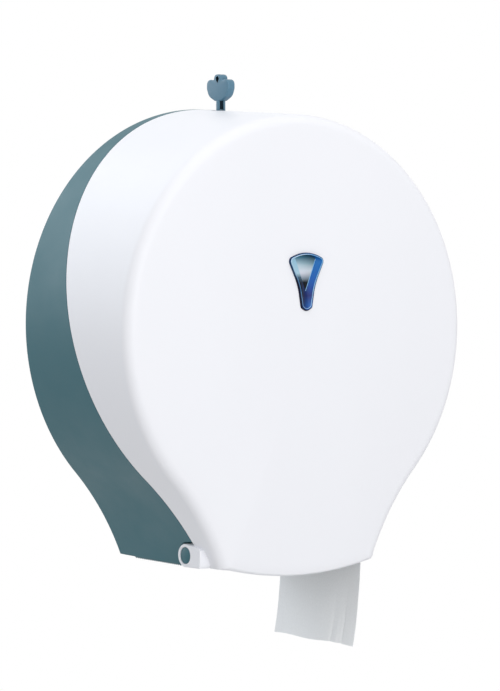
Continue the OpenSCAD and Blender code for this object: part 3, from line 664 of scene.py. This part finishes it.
# Barrel: a turned ring with rounded ends. Arm: sections across it stand one behind the other from the hinge axis
# forwards; each is a closed loop up its outer side and down its inner side. In plan it runs straight, then sweeps
# into the wall as a quarter ellipse.
def barrelAndArm(side):
    h, k = hinge, armSet
    x0, x1 = h["barrelOut"] - h["barrelLength"], h["barrelOut"]
    r, bore, e = h["barrel"], h["pin"] + h["boreFit"], h["round"]
    profile = [(bore, x0 + e), (bore + e, x0), (r - e, x0), (r - 0.15, x0 + 0.35 * e), (r, x0 + e), (r, x1 - 1.1),
               (r - 0.1, x1 - 0.6), (r - 0.45, x1 - 0.15), (r - 1.1, x1), (bore + 0.4, x1), (bore, x1 - 0.4),
               (bore, x0 + e)]
    barrel = lathe([(a, b * side) for a, b in profile], (0, h["y"], h["z"]), (1, 0, 0), 96)
    # places of the sections: up to 1 the arm runs straight, from 1 to 2 it turns in
    share = np.concatenate([np.linspace(0, 0.93, 12), [0.96, 0.98, 1.0, 1.02, 1.06], np.linspace(1.12, 2, 12)])
    footX = float(outlineAt(2.0, h["y"] - h["arm"])[0])
    v = np.linspace(0, 1, k["rows"])
    sections = []
    for q in share:
        straight, sweep = min(q, 1), max(q - 1, 0)
        ahead = straight * h["armStraight"] + sweep * (h["arm"] - h["armStraight"])
        high = r - h["armFall"] * (straight ** 1.5) - k["topFall"] * sweep
        low = -r + k["footRise"] * sweep
        z = low + (high - low) * v
        begin = np.sqrt(np.clip((r - 1) ** 2 - z ** 2, 0, None))  # clear of the bore
        y = h["y"] - (begin + (h["arm"] - begin) * ahead / h["arm"])
        toEdge = np.minimum(z - low, high - z)
        rounding = k["edge"] - np.sqrt(k["edge"] ** 2 - np.clip(k["edge"] - toEdge, 0, k["edge"]) ** 2)
        z = z + h["z"]
        middle = np.interp(z, *neckCurve(h["y"] - ahead, h["inWall"]))
        outer = np.maximum(x1 - (x1 - footX) * (sweep ** k["bend"]) - rounding, middle)
        thin = min(max((ahead - k["thinFrom"]) / k["thinOver"], 0), 1)
        inner = np.minimum(x0 * (1 - thin) + (middle - k["behind"]) * thin, outer - k["least"])
        sections.append(np.concatenate([np.stack([outer, y, z], 1), np.stack([inner, y, z], 1)[::-1]]))
    count = len(sections[0])
    i = np.arange(k["rows"] - 1)
    cap = np.stack([i + 1, i, count - 1 - i, count - 2 - i], 1)
    faces = np.concatenate([gridFaces(len(sections), count, True), cap, cap[:, ::-1] + (len(sections) - 1) * count])
    return [barrel, onSide((np.concatenate(sections), faces), side)]


cover = place(buildCover(), "cover", whitePlastic, "cover_plastic", "front_cover")
place(softenEdges(buildCoverFittings(), coverSet["fittingBevel"]), "cover", whitePlastic, "cover_plastic")
arms = newPiece("cover_hinge_arms", joined([shape for side in (-1, 1) for shape in barrelAndArm(side)]), 30)
place(arms, "cover", whitePlastic, "cover_plastic")
place(softenEdges(buildLockPad(), coverSet["fittingBevel"]), "cover", whitePlastic, "cover_plastic")
print("cover built", len(cover.data.vertices))


baseSet = dict(wallRows=28, backRows=9, bevel=0.4, sunk=0.5, ribHeight=7.0, ribWidth=2.0, ribFrom=32.0,
               ringRadius=98.0, padRadius=36.0, pad=3.0, boss=8.0, bossHeight=5.0, holeX=90.0, holeZ=75.0,
               ringWidth=2.0, round=0.5, inWall=1.5, hole=2.75, holeCut=(-20, 5),
               strikePad=(-55.0, -25.0, 137.2, 149.2))
lipSet = dict(ahead=3.0, thickness=1.6, gap=1.0, inWall=0.6, bend=-1.0, back=-6.0, columns=240, rear=-1.0)
stripSet = dict(start=12.0, land=2.6, height=12.0, thickness=1.6, tip=0.5, drop=1.3, pitch=2.6, toothHeight=1.6,
                root=0.6, outwards=0.6, slopeTo=1.97)
stripSet["end"] = -hinge["y"] - hinge["notch"] - hinge["web"] - 1


# Radius of the casing's inner outline along a ray from the spindle, in the direction of angle (radians)
def reachAlong(angle, inset, y=-5.0):
    x, z = outlineAt(around, y, inset)
    a, r = np.arctan2(z, x), np.hypot(x, z)
    order = np.argsort(a)
    return float(np.interp((angle + np.pi) % (2 * np.pi) - np.pi, a[order], r[order], period=2 * np.pi))


# Places of the four wall screws, as (x, z)
def screwPlaces():
    return [(x, z) for x in (-baseSet["holeX"], baseSet["holeX"]) for z in (-baseSet["holeZ"], baseSet["holeZ"])]


# The base's moulding: an outer and an inner skin of side wall and back plate, cut by the wall screws' holes
def buildBase():
    c, k = casing, baseSet
    skins = []
    for t, backY in ((0.0, 0.0), (c["wall"], -c["plate"])):
        inset = t * (1 - inSole(c["baseSole"]))  # the sole has no wall
        side = wallRows(baseEndY, backY, t, k["wallRows"])
        x, z = outlineAt(around, backY, inset)
        skins.append(np.concatenate([side[:-1], toPole(np.stack([x, np.full_like(x, backY), z], -1), k["backRows"])]))
    base = newPiece("rear_base_moulding", shellOf(skins[0], skins[1], k["wallRows"]), shellSmooth)
    r, (start, end) = k["hole"], k["holeCut"]
    holes = [lathe([(0, start), (r, start), (r, end), (0, end)], (x, 0, z), (0, 1, 0), 32) for x, z in screwPlaces()]
    cut(base, newPiece("wallHoles", joined(holes)))
    smoothBy(base, shellSmooth)
    return softenEdges(base, k["bevel"], 2, 50)


# Ribs from the spindle's foot to the wall, the ring they cross, the spindle's pad, the screw bosses and the
# strike's pad, all sunk a little into the back plate
def baseFittings():
    k, p = baseSet, casing["plate"]
    foot, high = p - k["sunk"], p + k["ribHeight"]
    shapes = []
    for degrees in np.arange(22.5, 360, 45):
        a = math.radians(degrees)
        out = np.array([math.cos(a), 0, math.sin(a)])
        across = np.array([-math.sin(a), 0, math.cos(a)])
        far = reachAlong(a, k["inWall"])
        outline = np.array([(k["ribFrom"], foot), (far, foot), (far, high), (k["ribFrom"], high)])
        start = -across * k["ribWidth"] / 2
        shapes.append(plate(outline, k["ribWidth"], start, out, (0, -1, 0), across, 0.35, 2))
    r, top, inner = k["ringRadius"], -high, k["ringRadius"] - k["ringWidth"]
    ring = [(r, -foot), (r, top + 0.4), (r - 0.4, top), (inner + 0.4, top), (inner, top + 0.4), (inner, -foot),
            (r, -foot)]
    shapes.append(lathe(ring, (0, 0, 0), (0, 1, 0), 160))
    r, top, e = k["padRadius"], -p - k["pad"], k["round"]
    pad = [(0, -foot), (r, -foot), (r, top + e), (r - e, top), (0, top)]
    shapes.append(lathe(pad, (0, 0, 0), (0, 1, 0), 96))
    r, hole, top, low = k["boss"], k["hole"], -p - k["bossHeight"], -k["sunk"]
    boss = [(hole, low), (r, low), (r, top + 0.6), (r - 0.6, top), (hole + e, top), (hole, top + e), (hole, low)]
    shapes += [lathe(boss, (x, 0, z), (0, 1, 0), 48) for x, z in screwPlaces()]
    x0, x1, z0, z1 = k["strikePad"]
    pad = roundPath([(x0, z0), (x1, z0), (x1, z1), (x0, z1)], 1.0, 4)
    shapes.append(frontPrism(pad, -1, -high, 0.3, 2))
    return shapes


# Lip along the parting line that centres the cover: a stepped section swept along the casing's curve, its corners
# given as (distance ahead of the parting line, inset)
def baseLip():
    k, wall = lipSet, casing["wall"]
    inner, root = wall + k["gap"], wall - k["inWall"]
    outer = inner + k["thickness"]
    section = [(k["ahead"], inner), (k["bend"], inner), (k["bend"], root), (k["back"], root), (k["back"], outer),
               (k["ahead"], outer)]
    s = np.linspace(-1, 1, k["columns"])
    rows = []
    for ahead, inset in section:
        y = settled(s, -40.0, inset, lambda z: np.minimum(partingY(z) - ahead, k["rear"]))
        x, z = outlineAt(s, y, inset)
        rows.append(np.stack([x, y, z], -1))
    return np.stack(rows, 1).reshape(-1, 3), cappedFaces(len(s), len(section))


# Ear for the hinge pin: a round-ended plate, and a web that joins it to the side wall
def hingeEar(side):
    h = hinge
    x0 = h["barrelOut"] - h["barrelLength"] - h["gap"] - h["ear"]
    r, back = h["barrel"] - h["round"], h["notch"] + h["web"]
    t = np.linspace(np.pi / 2, 3 * np.pi / 2, 28)
    outline = np.concatenate([np.stack([r * np.cos(t), r * np.sin(t)], 1), [(back, -r), (back, r)]])
    ear = plate(outline, h["ear"], (x0, h["y"], h["z"]), (0, 1, 0), (0, 0, 1), (1, 0, 0), h["round"], 3)
    z = np.linspace(h["z"] - r, h["z"] + r, 12)
    outer = np.interp(z, *neckCurve(h["y"] + back - h["web"] / 2, h["inWall"]))
    inner = x0 + h["sunk"]
    loop = np.concatenate([np.stack([outer, z], 1), [(inner, z[-1]), (inner, z[0])]])
    web = plate(loop, h["web"], (0, h["y"] + h["notch"], 0), (1, 0, 0), (0, 0, 1), (0, 1, 0), 0.2, 2)
    return [onSide(ear, side), onSide(web, side)]


# Where the tear strips stand: a point at the foot of the wall at the strip's front end, the ways up the slope and
# inwards, and the slope itself
def stripFrame():
    c, end = casing, -stripSet["end"]
    x, z = outlineAt(2.0, end, c["wall"])
    xUp, zUp = outlineAt(stripSet["slopeTo"], end, c["wall"])
    slope = math.atan2(float(xUp - x), float(zUp - z))
    origin = np.array([float(x) - stripSet["outwards"], 0, c["foot"] + c["footDrop"] * end / c["depth"]])
    up = np.array([math.sin(slope), 0, math.cos(slope)])
    inwards = np.array([-math.cos(slope), 0, math.sin(slope)])
    return origin, up, inwards, slope


# How much higher the sole stands at distance p from the wall than at the strip's front end, measured up the slope
def stripRise(p, slope):
    return casing["footDrop"] * (stripSet["end"] - p) / casing["depth"] / math.cos(slope)


# The flat land that carries a tear strip: distance from the wall runs forwards, height runs up the neck's slope
def stripLand(side):
    k = stripSet
    origin, up, inwards, slope = stripFrame()
    start, end, rise = k["start"], k["end"], stripRise(k["start"], slope)
    root, high = k["root"], k["height"]
    loop = np.array([(start, rise + root), (end, root), (end, high), (start, high + rise)])
    return onSide(plate(loop, k["land"], origin - inwards * k["land"], (0, -1, 0), up, inwards, 0.3, 2), side)


# Tear strip on its land: columns stand one behind the other from the wall forwards, and every other one ends in a
# thin tooth
def tearStrip(side):
    k = stripSet
    origin, up, inwards, slope = stripFrame()
    count = 2 * round((k["end"] - k["start"]) / k["pitch"]) + 1
    p = np.linspace(k["start"], k["end"], count)
    tooth = np.arange(count) % 2
    rise = stripRise(p, slope)
    foot = rise - k["drop"] - k["toothHeight"] * tooth
    root, top = rise - k["drop"] + k["root"], k["height"] + rise
    flat, thick = 0 * p, 0 * p + k["thickness"]
    thin = k["thickness"] - (k["thickness"] - k["tip"]) * tooth
    loops = []
    for height, depth in ((foot, flat), (root, flat), (top, flat), (top, thick), (root, thick), (foot, thin)):
        loops.append(origin + height[:, None] * up + depth[:, None] * inwards + p[:, None] * np.array([0, -1, 0]))
    return onSide((np.stack(loops, 1).reshape(-1, 3), cappedFaces(count, len(loops))), side)


# Hinge pins: a broad end with a rounded rim, which shows inside the barrel, and a shank in the ear
def hingePin(side):
    h = hinge
    x0, x1 = h["barrelOut"] - h["barrelLength"] - h["gap"], h["barrelOut"]
    start, shank, pin = x0 - h["ear"], h["shank"], h["pin"]
    profile = [(0, start), (shank - 0.5, start), (shank, start + 0.5), (shank, x0), (pin, x0),
               (pin, x1 - 1.3), (pin - 0.2, x1 - 0.8), (pin - 0.8, x1 - 0.5), (0, x1 - 0.5)]
    return lathe([(a, b * side) for a, b in profile], (0, h["y"], h["z"]), (1, 0, 0), 72)


base = place(buildBase(), "housing", tealPlastic, "base_plastic", "rear_base")
shapes = baseFittings() + [baseLip()]
for side in (-1, 1):
    shapes += hingeEar(side) + [stripLand(side)]
place(newPiece("base_ribs_and_lands", joined(shapes), 30), "housing", tealPlastic, "base_plastic")
for side, name in ((-1, "left"), (1, "right")):
    strip = newPiece("tear_strip_toothed_" + name, tearStrip(side), 25)
    place(strip, "housing", tealPlastic, "base_plastic", "tear_strip_" + name)
for side, name in ((-1, "left"), (1, "right")):
    pin = newPiece("hinge_pin_turned_" + name, hingePin(side), 30)
    place(pin, "housing", tealPlastic, "base_plastic", "hinge_pin_" + name)
print("base built", len(base.data.vertices))


# Level window. The frame is a run of rings: skirt, upright side, rounded crest, and then slopes down to the pane,
# which are mixes of the crest's outline and the pane's, a little hollow. The pane narrows evenly from its shoulders
# to its tip, below which the two slopes meet in a line. Beside both pieces it gives the lines of the crest's and the
# pane's edge, which carry the painted highlights.
def buildWindow():
    w = windowSet
    back, land, front, shoulder = w["land"] + w["flange"], w["land"], w["front"], w["shoulder"]
    outer = windowOutline(-w["crest"])
    x, z = outer.T
    paneHalf, high = w["halfWidth"] - w["paneIn"], shoulder + w["paneHigh"]
    tip, end = shoulder - w["paneTip"], shoulder - w["height"] + w["paneEnd"]
    low, bend = z.min(), shoulder + w["bend"]
    inZ = end + (high - end) * np.clip((z - low) / (bend - low), 0, 1)
    half = paneHalf * np.clip((inZ - tip) / (high - tip), 0, 1)
    crown = z > bend
    inX = np.where(crown, x * paneHalf / np.abs(x[crown]).max(), np.sign(x) * half)
    inZ = np.where(crown, high + w["paneCrown"] * (1 - (inX / paneHalf) ** 2), inZ)
    line = w["lineDeep"] + (1 - w["lineDeep"]) * (inZ - end) / (tip - end)
    deep = front + np.where(inZ > tip, w["recess"], w["recess"] * line)
    inner = np.stack([inX, inZ], 1)
    sides = [(w["skirt"], back), (w["skirt"], land), (0.0, land), (0.0, front + 0.7), (-0.2, front + 0.2),
             (-0.55, front), (-w["crest"], front + w["crestDrop"])]
    rings = [atDepth(windowOutline(grow), depth) for grow, depth in sides]
    for t in np.linspace(0, 1, 9)[1:]:
        depth = (front + w["crestDrop"]) * (1 - t) + deep * t + w["hollow"] * np.sin(np.pi * t)
        rings.append(atDepth(outer * (1 - t) + inner * t, depth))
    middle = np.array([0, shoulder - w["paneMiddle"]])
    spine = np.stack([inX * 0, np.clip(inZ, None, middle[1])], 1)
    rings = [atDepth(np.tile(middle, (len(x), 1)), back)] + rings + [atDepth(spine, deep + 0.4 * (inZ > tip))]
    shape = (np.concatenate(rings), gridFaces(len(rings), len(x), True))
    windowFrame = newPiece("level_window_frame", shape, 28)
    upper = inZ > tip + 0.2
    paneLoop = np.concatenate([inner[upper], [[0, tip]]])
    order = np.argsort(np.arctan2(paneLoop[:, 0], -(paneLoop[:, 1] - middle[1])))
    floor = front + w["recess"]
    block = frontPrism(paneLoop[order], floor + w["paneBack"], floor - w["paneProud"], w["paneEdge"], 2)
    right = inner[(inX > 0.1) & upper & ~crown]
    paneSide = np.concatenate([[[0, tip]], right[np.argsort(right[:, 1])]])
    return windowFrame, newPiece("level_window_pane", block, 30), outer, paneSide


# A fine bead with a round section, swept along a line of the front view, that carries a painted highlight along the
# edge of the clear plastic. A closed line joins up; an open one ends in a point at both ends.
def highlightBeadAlong(line, depth, radius, sides=8, closed=True):
    ahead = np.roll(line, -1, 0) - np.roll(line, 1, 0) if closed else np.gradient(line, axis=0)
    ahead /= np.linalg.norm(ahead, axis=1)[:, None] + 1e-9
    side = np.stack([-ahead[:, 1], ahead[:, 0]], 1)
    t = np.linspace(0, 2 * np.pi, sides, endpoint=False)
    x = line[:, 0, None] + side[:, 0, None] * np.cos(t) * radius
    z = line[:, 1, None] + side[:, 1, None] * np.cos(t) * radius
    y = depth + 0 * x + np.sin(t) * radius
    rows = np.stack([x, y, z], -1)
    if closed:
        rows = np.concatenate([rows, rows[:1]])
    else:
        first, last = (np.repeat(end.mean(1, keepdims=True), sides, 1) for end in (rows[:1], rows[-1:]))
        rows = np.concatenate([first, rows, last])
    return rows.reshape(-1, 3), gridFaces(len(rows), sides, True)


windowFrame, windowPane, crest, paneSide = buildWindow()
land, front, sunk = windowSet["land"], windowSet["front"], windowSet["highlightSunk"]
highlightBeads = [highlightBeadAlong(crest, front + sunk, windowSet["crestHighlight"]),
         highlightBeadAlong(paneSide, front + windowSet["recess"] - sunk, windowSet["paneHighlight"], closed=False)]
place(newPiece("level_window_painted_highlights", joined(highlightBeads), 60), "cover", edgePaintedHighlight, "window_plastic")
rim = windowRing([(-0.5, land), (0.2, land), (0.2, front + 0.7), (0.0, front + 0.15), (-0.3, front - 0.05),
                  (-0.7, front + 0.08)])
place(newPiece("level_window_rim", rim, 40), "cover", rimPaintedShade, "window_plastic")
place(windowFrame, "cover", blueTintPaintedLight, "window_plastic", "level_window")
place(windowPane, "cover", panePaintedLight, "window_plastic")
print("window built")


keySet = dict(width=25.2, height=20.9, thickness=7.5, turn=math.radians(5 - 90), neck=7.5, shaft=3.7, into=11.5,
              fin=(5.0, 1.6), finReach=4.4, finTop=-1.0, lobe=4.3, rounds=(1.5, 8, 6, 4, 1.2, 3.4), sunk=0.6,
              slot=(2.7, 2.4), slotTurn=math.radians(-115), stemRise=1.2)


# Key. The head is a plate with rounded edges and an eye whose walls are painted dark as shade; the stem is a round
# bar with a groove up its front, whose floor is a dark sheet of its own, painted shade; a flat fin stands in the
# lock.
def buildKey():
    k, y, up = keySet, lockSet["y"], (0, 0, 1)
    w, h, lobe, t = k["width"] / 2, k["height"], k["lobe"], k["thickness"]
    right = [(3.6, 0), (w - 2.2, 3.6), (w, 9.5), (w, h - 3), (lobe, h - 5), (lobe, h)]
    corners = right + [(-a, b) for a, b in reversed(right)]
    outline = roundPath(corners, k["rounds"] + k["rounds"][::-1], 10)
    u = np.array([math.cos(k["turn"]), math.sin(k["turn"]), 0])
    through = np.cross(u, up)
    origin = np.array([0, y, lockSet["top"] + k["neck"]]) - through * t / 2
    head = newPiece("key_head", plate(outline, t, origin, u, up, through, 0.9, 5), 30)
    drop = roundPath([(-2.2, h - 3.0), (0, h - 7.4), (2.2, h - 3.0), (0, h - 1.2)], [1.6, 0.6, 1.6, 1.2], 6)
    # The eye's walls take the cutter's dark finish: painted shade in the hole
    eye = newPiece("eyeCutter", plate(drop, t + 2, origin - through, u, up, through, 1e-3, 1))
    eye.data.materials.append(keyPaintedShade)
    head.data.materials.append(keyPlastic)
    cut(head, eye)
    smoothBy(head, 30)
    low, rise = lockSet["top"] - k["sunk"], k["neck"] + k["stemRise"]
    r, foot = k["shaft"], low - k["into"]
    shaft = lathe([(0, foot), (r - 0.6, foot), (r, foot + 0.6), (r, low), (0, low)], (0, y, 0), up, 64)
    a = np.linspace(0, 2 * np.pi, 80, endpoint=False)
    ring = np.stack([np.cos(a), np.sin(a)], 1) * r
    toward = np.array([math.cos(k["slotTurn"]), math.sin(k["slotTurn"])])  # the way the groove faces
    sideways = np.array([-toward[1], toward[0]])
    slotHalf, slotFloor = k["slot"][0] / 2, r - k["slot"][1]
    ahead, aside = ring @ toward, ring @ sideways
    ahead = np.where((ahead > 0) & (np.abs(aside) < slotHalf + 0.15), slotFloor, ahead)
    ring = ahead[:, None] * toward + aside[:, None] * sideways
    stem = plate(ring, rise, (0, y, low), (1, 0, 0), (0, 1, 0), up, 0.05, 1)
    # The groove's floor is a thin dark plate of painted shade, laid where the groove lies in shade
    half, high = slotHalf + 0.05, rise - 2.4
    floor = np.array([0, y, low + 1.6]) + np.append(toward, 0) * (slotFloor + 0.1)
    groove = plate(np.array([(-half, 0), (half, 0), (half, high), (-half, high)]), 0.5, floor,
                   np.append(sideways, 0), up, np.append(toward, 0), 0.05, 1)
    reach, top, (finHeight, finWidth) = k["finReach"], k["finTop"], k["fin"]
    finLoop = np.array([(-reach, -finHeight), (reach, -finHeight), (reach, top), (-reach, top)])
    fin = plate(finLoop, finWidth, (0, y - finWidth / 2, low), (1, 0, 0), up, (0, 1, 0), 0.2, 2)
    return head, newPiece("key_stem", joined([shaft, stem, fin]), 30), newPiece("key_groove_painted_shade", groove, 30)


keyHead, keyStem, keyGrooveShade = buildKey()
# The groove's floor: a dark sheet of painted shade
place(keyGrooveShade, "lock", keyPaintedShade, "base_plastic")
place(keyHead, "lock", None, "base_plastic", "key")
place(keyStem, "lock", keyPlastic, "base_plastic")
print("key built")


tailSet = dict(
    near=-18.0, far=-117.5, thickness=0.35, parts=-174.0, columns=260, perSpan=14,
    slant=2.2, ripple=1.1, curl=0.5, drift=0.02, freeFrom=-188.0, freeOver=62.0,
    path=[(120.1, -65.2), (108.0, -87.5), (95.5, -110.5), (83.0, -133.5), (74.0, -150.5), (69.6, -162.0),
          (69.1, -172.0), (69.0, -184.0), (68.2, -200.0), (66.6, -217.0), (64.4, -235.0), (61.0, -252.6)],
    folds=[(0.72, 0.016, 0.7), (0.78, 0.02, -0.5), (0.845, 0.015, 0.8)],  # place across, width, depth
)


# Smooth curve through points of the plane: each span is a cubic whose slopes follow its neighbours
def throughPoints(points, perSpan):
    p = np.asarray(points, float)
    slope = np.gradient(p, axis=0)
    out = []
    for a, b, da, db in zip(p[:-1], p[1:], slope[:-1], slope[1:]):
        t = np.linspace(0, 1, perSpan, endpoint=False)[:, None]
        out.append(a * (2 * t ** 3 - 3 * t ** 2 + 1) + da * (t ** 3 - 2 * t ** 2 + t)
                   + b * (3 * t ** 2 - 2 * t ** 3) + db * (t ** 3 - t ** 2))
    return np.concatenate(out + [p[-1:]])


# The sheet runs along its path and across the roll. Below the base it comes free: two waves and a few narrow folds
# across its width grow with the distance down, and its foot slants and curls. It is made in two lengths.
def buildTail():
    k = tailSet
    path = throughPoints(k["path"], k["perSpan"])
    steps = np.append(0, np.cumsum(np.linalg.norm(np.diff(path, axis=0), axis=1)))
    across = np.linspace(0, 1, k["columns"])
    free = np.clip((k["freeFrom"] - path[:, 1]) / k["freeOver"], 0, 1)[:, None]
    waves = 0.7 * np.sin(across * 7.0 + 0.6) + 0.4 * np.sin(across * 15.0 + 2.0)
    wave = k["ripple"] * free ** 1.2 * waves[None, :]
    for at, width, depth in k["folds"]:
        drift = at + k["drift"] * (1 - free)
        wave = wave + depth * free ** 2.2 * np.exp(-((across[None, :] - drift) / width) ** 2)
    x = path[:, :1] + wave
    y = k["near"] + (k["far"] - k["near"]) * across[None, :] + 0 * x
    curl = k["curl"] * free ** 4 * np.sin(across * 11.0)[None, :]
    z = path[:, 1:] - free ** 2 * k["slant"] * (across[None, :] - 0.5) + curl
    sheet = np.stack([x, y, z], -1)
    row = int(np.argmax(path[:, 1] < k["parts"]))
    pieces = []
    for name, rows in (("paper_tail_sheet", slice(0, row + 1)), ("paper_tail_hanging", slice(row, len(path)))):
        part = sheet[rows]
        tail = newPiece(name, (part.reshape(-1, 3), gridFaces(len(part), len(across))), 60, False)
        solid = tail.modifiers.new("thickness", "SOLIDIFY")
        solid.thickness, solid.offset = k["thickness"] * mm, 0.0
        smoothBy(applied(tail), 60)
        pieces.append((tail, float(np.ptp(steps[rows]))))
    return pieces


(tail, upperLength), (hanging, lowerLength) = buildTail()
place(tail, "housing", paper, "tissue", "paper_tail")
place(hanging, "housing", paper, "tissue")
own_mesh(hanging)
print("hanging paper built", round(upperLength + lowerLength, 1))


rollSet = dict(radius=136.0, core=24.1, near=-18.0, far=-117.5, round=1.6, ring=0.22, calm=3.0, rings=150)


# Wound roll: its sides are a run of fine rings, each a little behind the next, as two mixed sines of the radius
# make them, and its edges are rounded with a quarter circle
def buildRoll():
    k = rollSet
    core, near, far, edge = k["core"], k["near"], k["far"], k["radius"] - k["round"]
    r = np.linspace(core + 0.4, edge, k["rings"])
    coarse, fine = np.sin(r * 1.9) * np.sin(r * 0.37 + 1.0), np.sin(r * 5.3 + 2.0 * np.sin(r * 0.21))
    behind = k["ring"] * (coarse * 0.6 + fine * 0.4) * np.clip((edge - r) / k["calm"], 0, 1)
    behind = behind.clip(-1, 0)
    a = np.linspace(0, np.pi / 2, 7)[1:]
    radii = np.append(r, k["radius"] - k["round"] * (1 - np.sin(a)))
    arc = k["round"] * (1 - np.cos(a))
    front = np.stack([radii, np.append(far - behind, far + arc)], 1)
    back = np.stack([radii, np.append(near + behind, near - arc)], 1)
    bore = [(core, near - 0.4), (core, far + 0.4)]
    profile = np.concatenate([bore[1:], front, back[::-1], bore])
    return newPiece("paper_roll_wound", lathe(profile, (0, 0, 0), (0, 1, 0), 192), 40)


place(buildRoll(), "roll", rollPaper, "tissue", "paper_roll")
print("roll built")


kept = [  # pieces whose CAD shape stays, with their finish
    (tealPlastic, ["hub_cap", "lock_sleeve", "lock_rotor", "roll_hub"]),
    (whitePlastic, ["roll_spindle"]),
    (brightSteel, ["strip_screws", "spindle_screws", "brake_washer", "hub_cap_screw", "strike_plate", "strike_screws",
                   "lock_screws", "lock_cam", "cam_screw"]),
    (coreBoard, ["cardboard_core"]),
]
for finish, names in kept:
    for name in names:
        mesh = nodes[name].data
        mesh.materials.clear()
        mesh.materials.append(finish)
print("finishes set on the kept shapes")


white = (1, 1, 1, 1)
stageSet = dict(floorZ=-3.2, floorSize=12.0, floorTone=0.9, world=0.5, lampAim=(0, -0.05, 0))
lamps = [  # name, size, place, power, colour
    ("keyLight", (3.2, 3.2), (-0.4, -3.4, 0.7), 66, (1, 1, 1)),
    ("lowLight", (1.4, 1.0), (-2.4, -1.3, -0.7), 4, (1, 1, 1)),
    ("backLight", (2.4, 2.2), (-1.0, 2.1, 1.1), 35, (0.86, 0.93, 1.0)),
    ("topLight", (1.8, 1.8), (-0.2, -0.6, 2.3), 18, (1, 1, 1)),
]
cameraSet = dict(place=(-1.7174, -2.2572, 0.0736), aim=(0.6163418, 0.7867898, -0.0329337), lens=185.45, sensor=36.0)


# A rectangular lamp, turned to look at the aim, that the camera doesn't see
def emitter(name, size, spot, power, colour):
    light = bpy.data.lights.new(name, "AREA")
    light.shape, light.size, light.size_y = "RECTANGLE", size[0], size[1]
    light.energy, light.color = power, colour
    obj = bpy.data.objects.new(name, light)
    bpy.context.collection.objects.link(obj)
    obj.location = spot
    obj.visible_camera = False
    obj.rotation_euler = (Vector(stageSet["lampAim"]) - Vector(spot)).to_track_quat("-Z", "Y").to_euler()


# Mixes a plain shader with a white one that only the camera, clear and glossy surfaces see: the share of the white
# one is the largest of the three kinds of ray
def whiteWhenSeen(tree, plain, bright, output):
    path = tree.nodes.new("ShaderNodeLightPath")
    share = path.outputs["Is Camera Ray"]
    for kind in ("Is Transmission Ray", "Is Glossy Ray"):
        larger = tree.nodes.new("ShaderNodeMath")
        larger.operation = "MAXIMUM"
        tree.links.new(share, larger.inputs[0])
        tree.links.new(path.outputs[kind], larger.inputs[1])
        share = larger.outputs["Value"]
    mix = tree.nodes.new("ShaderNodeMixShader")
    for i, source in enumerate((share, plain, bright)):
        tree.links.new(source, mix.inputs[i])
    tree.links.new(mix.outputs["Shader"], tree.nodes[output].inputs["Surface"])


# A wide square floor far below the piece, white where it is seen and a plain light grey to all other light
def buildFloor():
    size, z, tone = stageSet["floorSize"], stageSet["floorZ"], stageSet["floorTone"]
    mesh = bpy.data.meshes.new("floor")
    mesh.from_pydata([(-size, -size, z), (size, -size, z), (size, size, z), (-size, size, z)], [], [(0, 1, 2, 3)])
    floor = bpy.data.objects.new("floor", mesh)
    bpy.context.collection.objects.link(floor)
    n = Nodes("floorPaint")
    n.set(Base_Color=(tone, tone, tone, 1), Roughness=0.8)
    glow = n.add("Emission")
    glow.inputs["Strength"].default_value = 1.0
    whiteWhenSeen(n.tree, n.shader.outputs["BSDF"], glow.outputs["Emission"], "Material Output")
    mesh.materials.append(n.material)


# The world, white where it is seen, and a plain level of light elsewhere
def buildWorld():
    world = bpy.data.worlds.new("studio")
    bpy.context.scene.world = world
    world.use_nodes = True
    tree = world.node_tree
    plain, bright = tree.nodes["Background"], tree.nodes.new("ShaderNodeBackground")
    for node, strength in ((plain, stageSet["world"]), (bright, 1.0)):
        node.inputs["Color"].default_value = white
        node.inputs["Strength"].default_value = strength
    whiteWhenSeen(tree, plain.outputs["Background"], bright.outputs["Background"], "World Output")


# The camera of the photograph, as its outline was fitted
def buildCamera():
    data = bpy.data.cameras.new("photoCamera")
    data.lens, data.sensor_width, data.sensor_fit = cameraSet["lens"], cameraSet["sensor"], "AUTO"
    camera = bpy.data.objects.new("photoCamera", data)
    bpy.context.collection.objects.link(camera)
    camera.location = cameraSet["place"]
    camera.rotation_euler = Vector(cameraSet["aim"]).to_track_quat("-Z", "Y").to_euler()
    bpy.context.scene.camera = camera
    bpy.context.scene.view_settings.view_transform = "Standard"


buildFloor()
buildWorld()
for lamp in lamps:
    emitter(*lamp)
buildCamera()
print("stage built")

print("scene done")
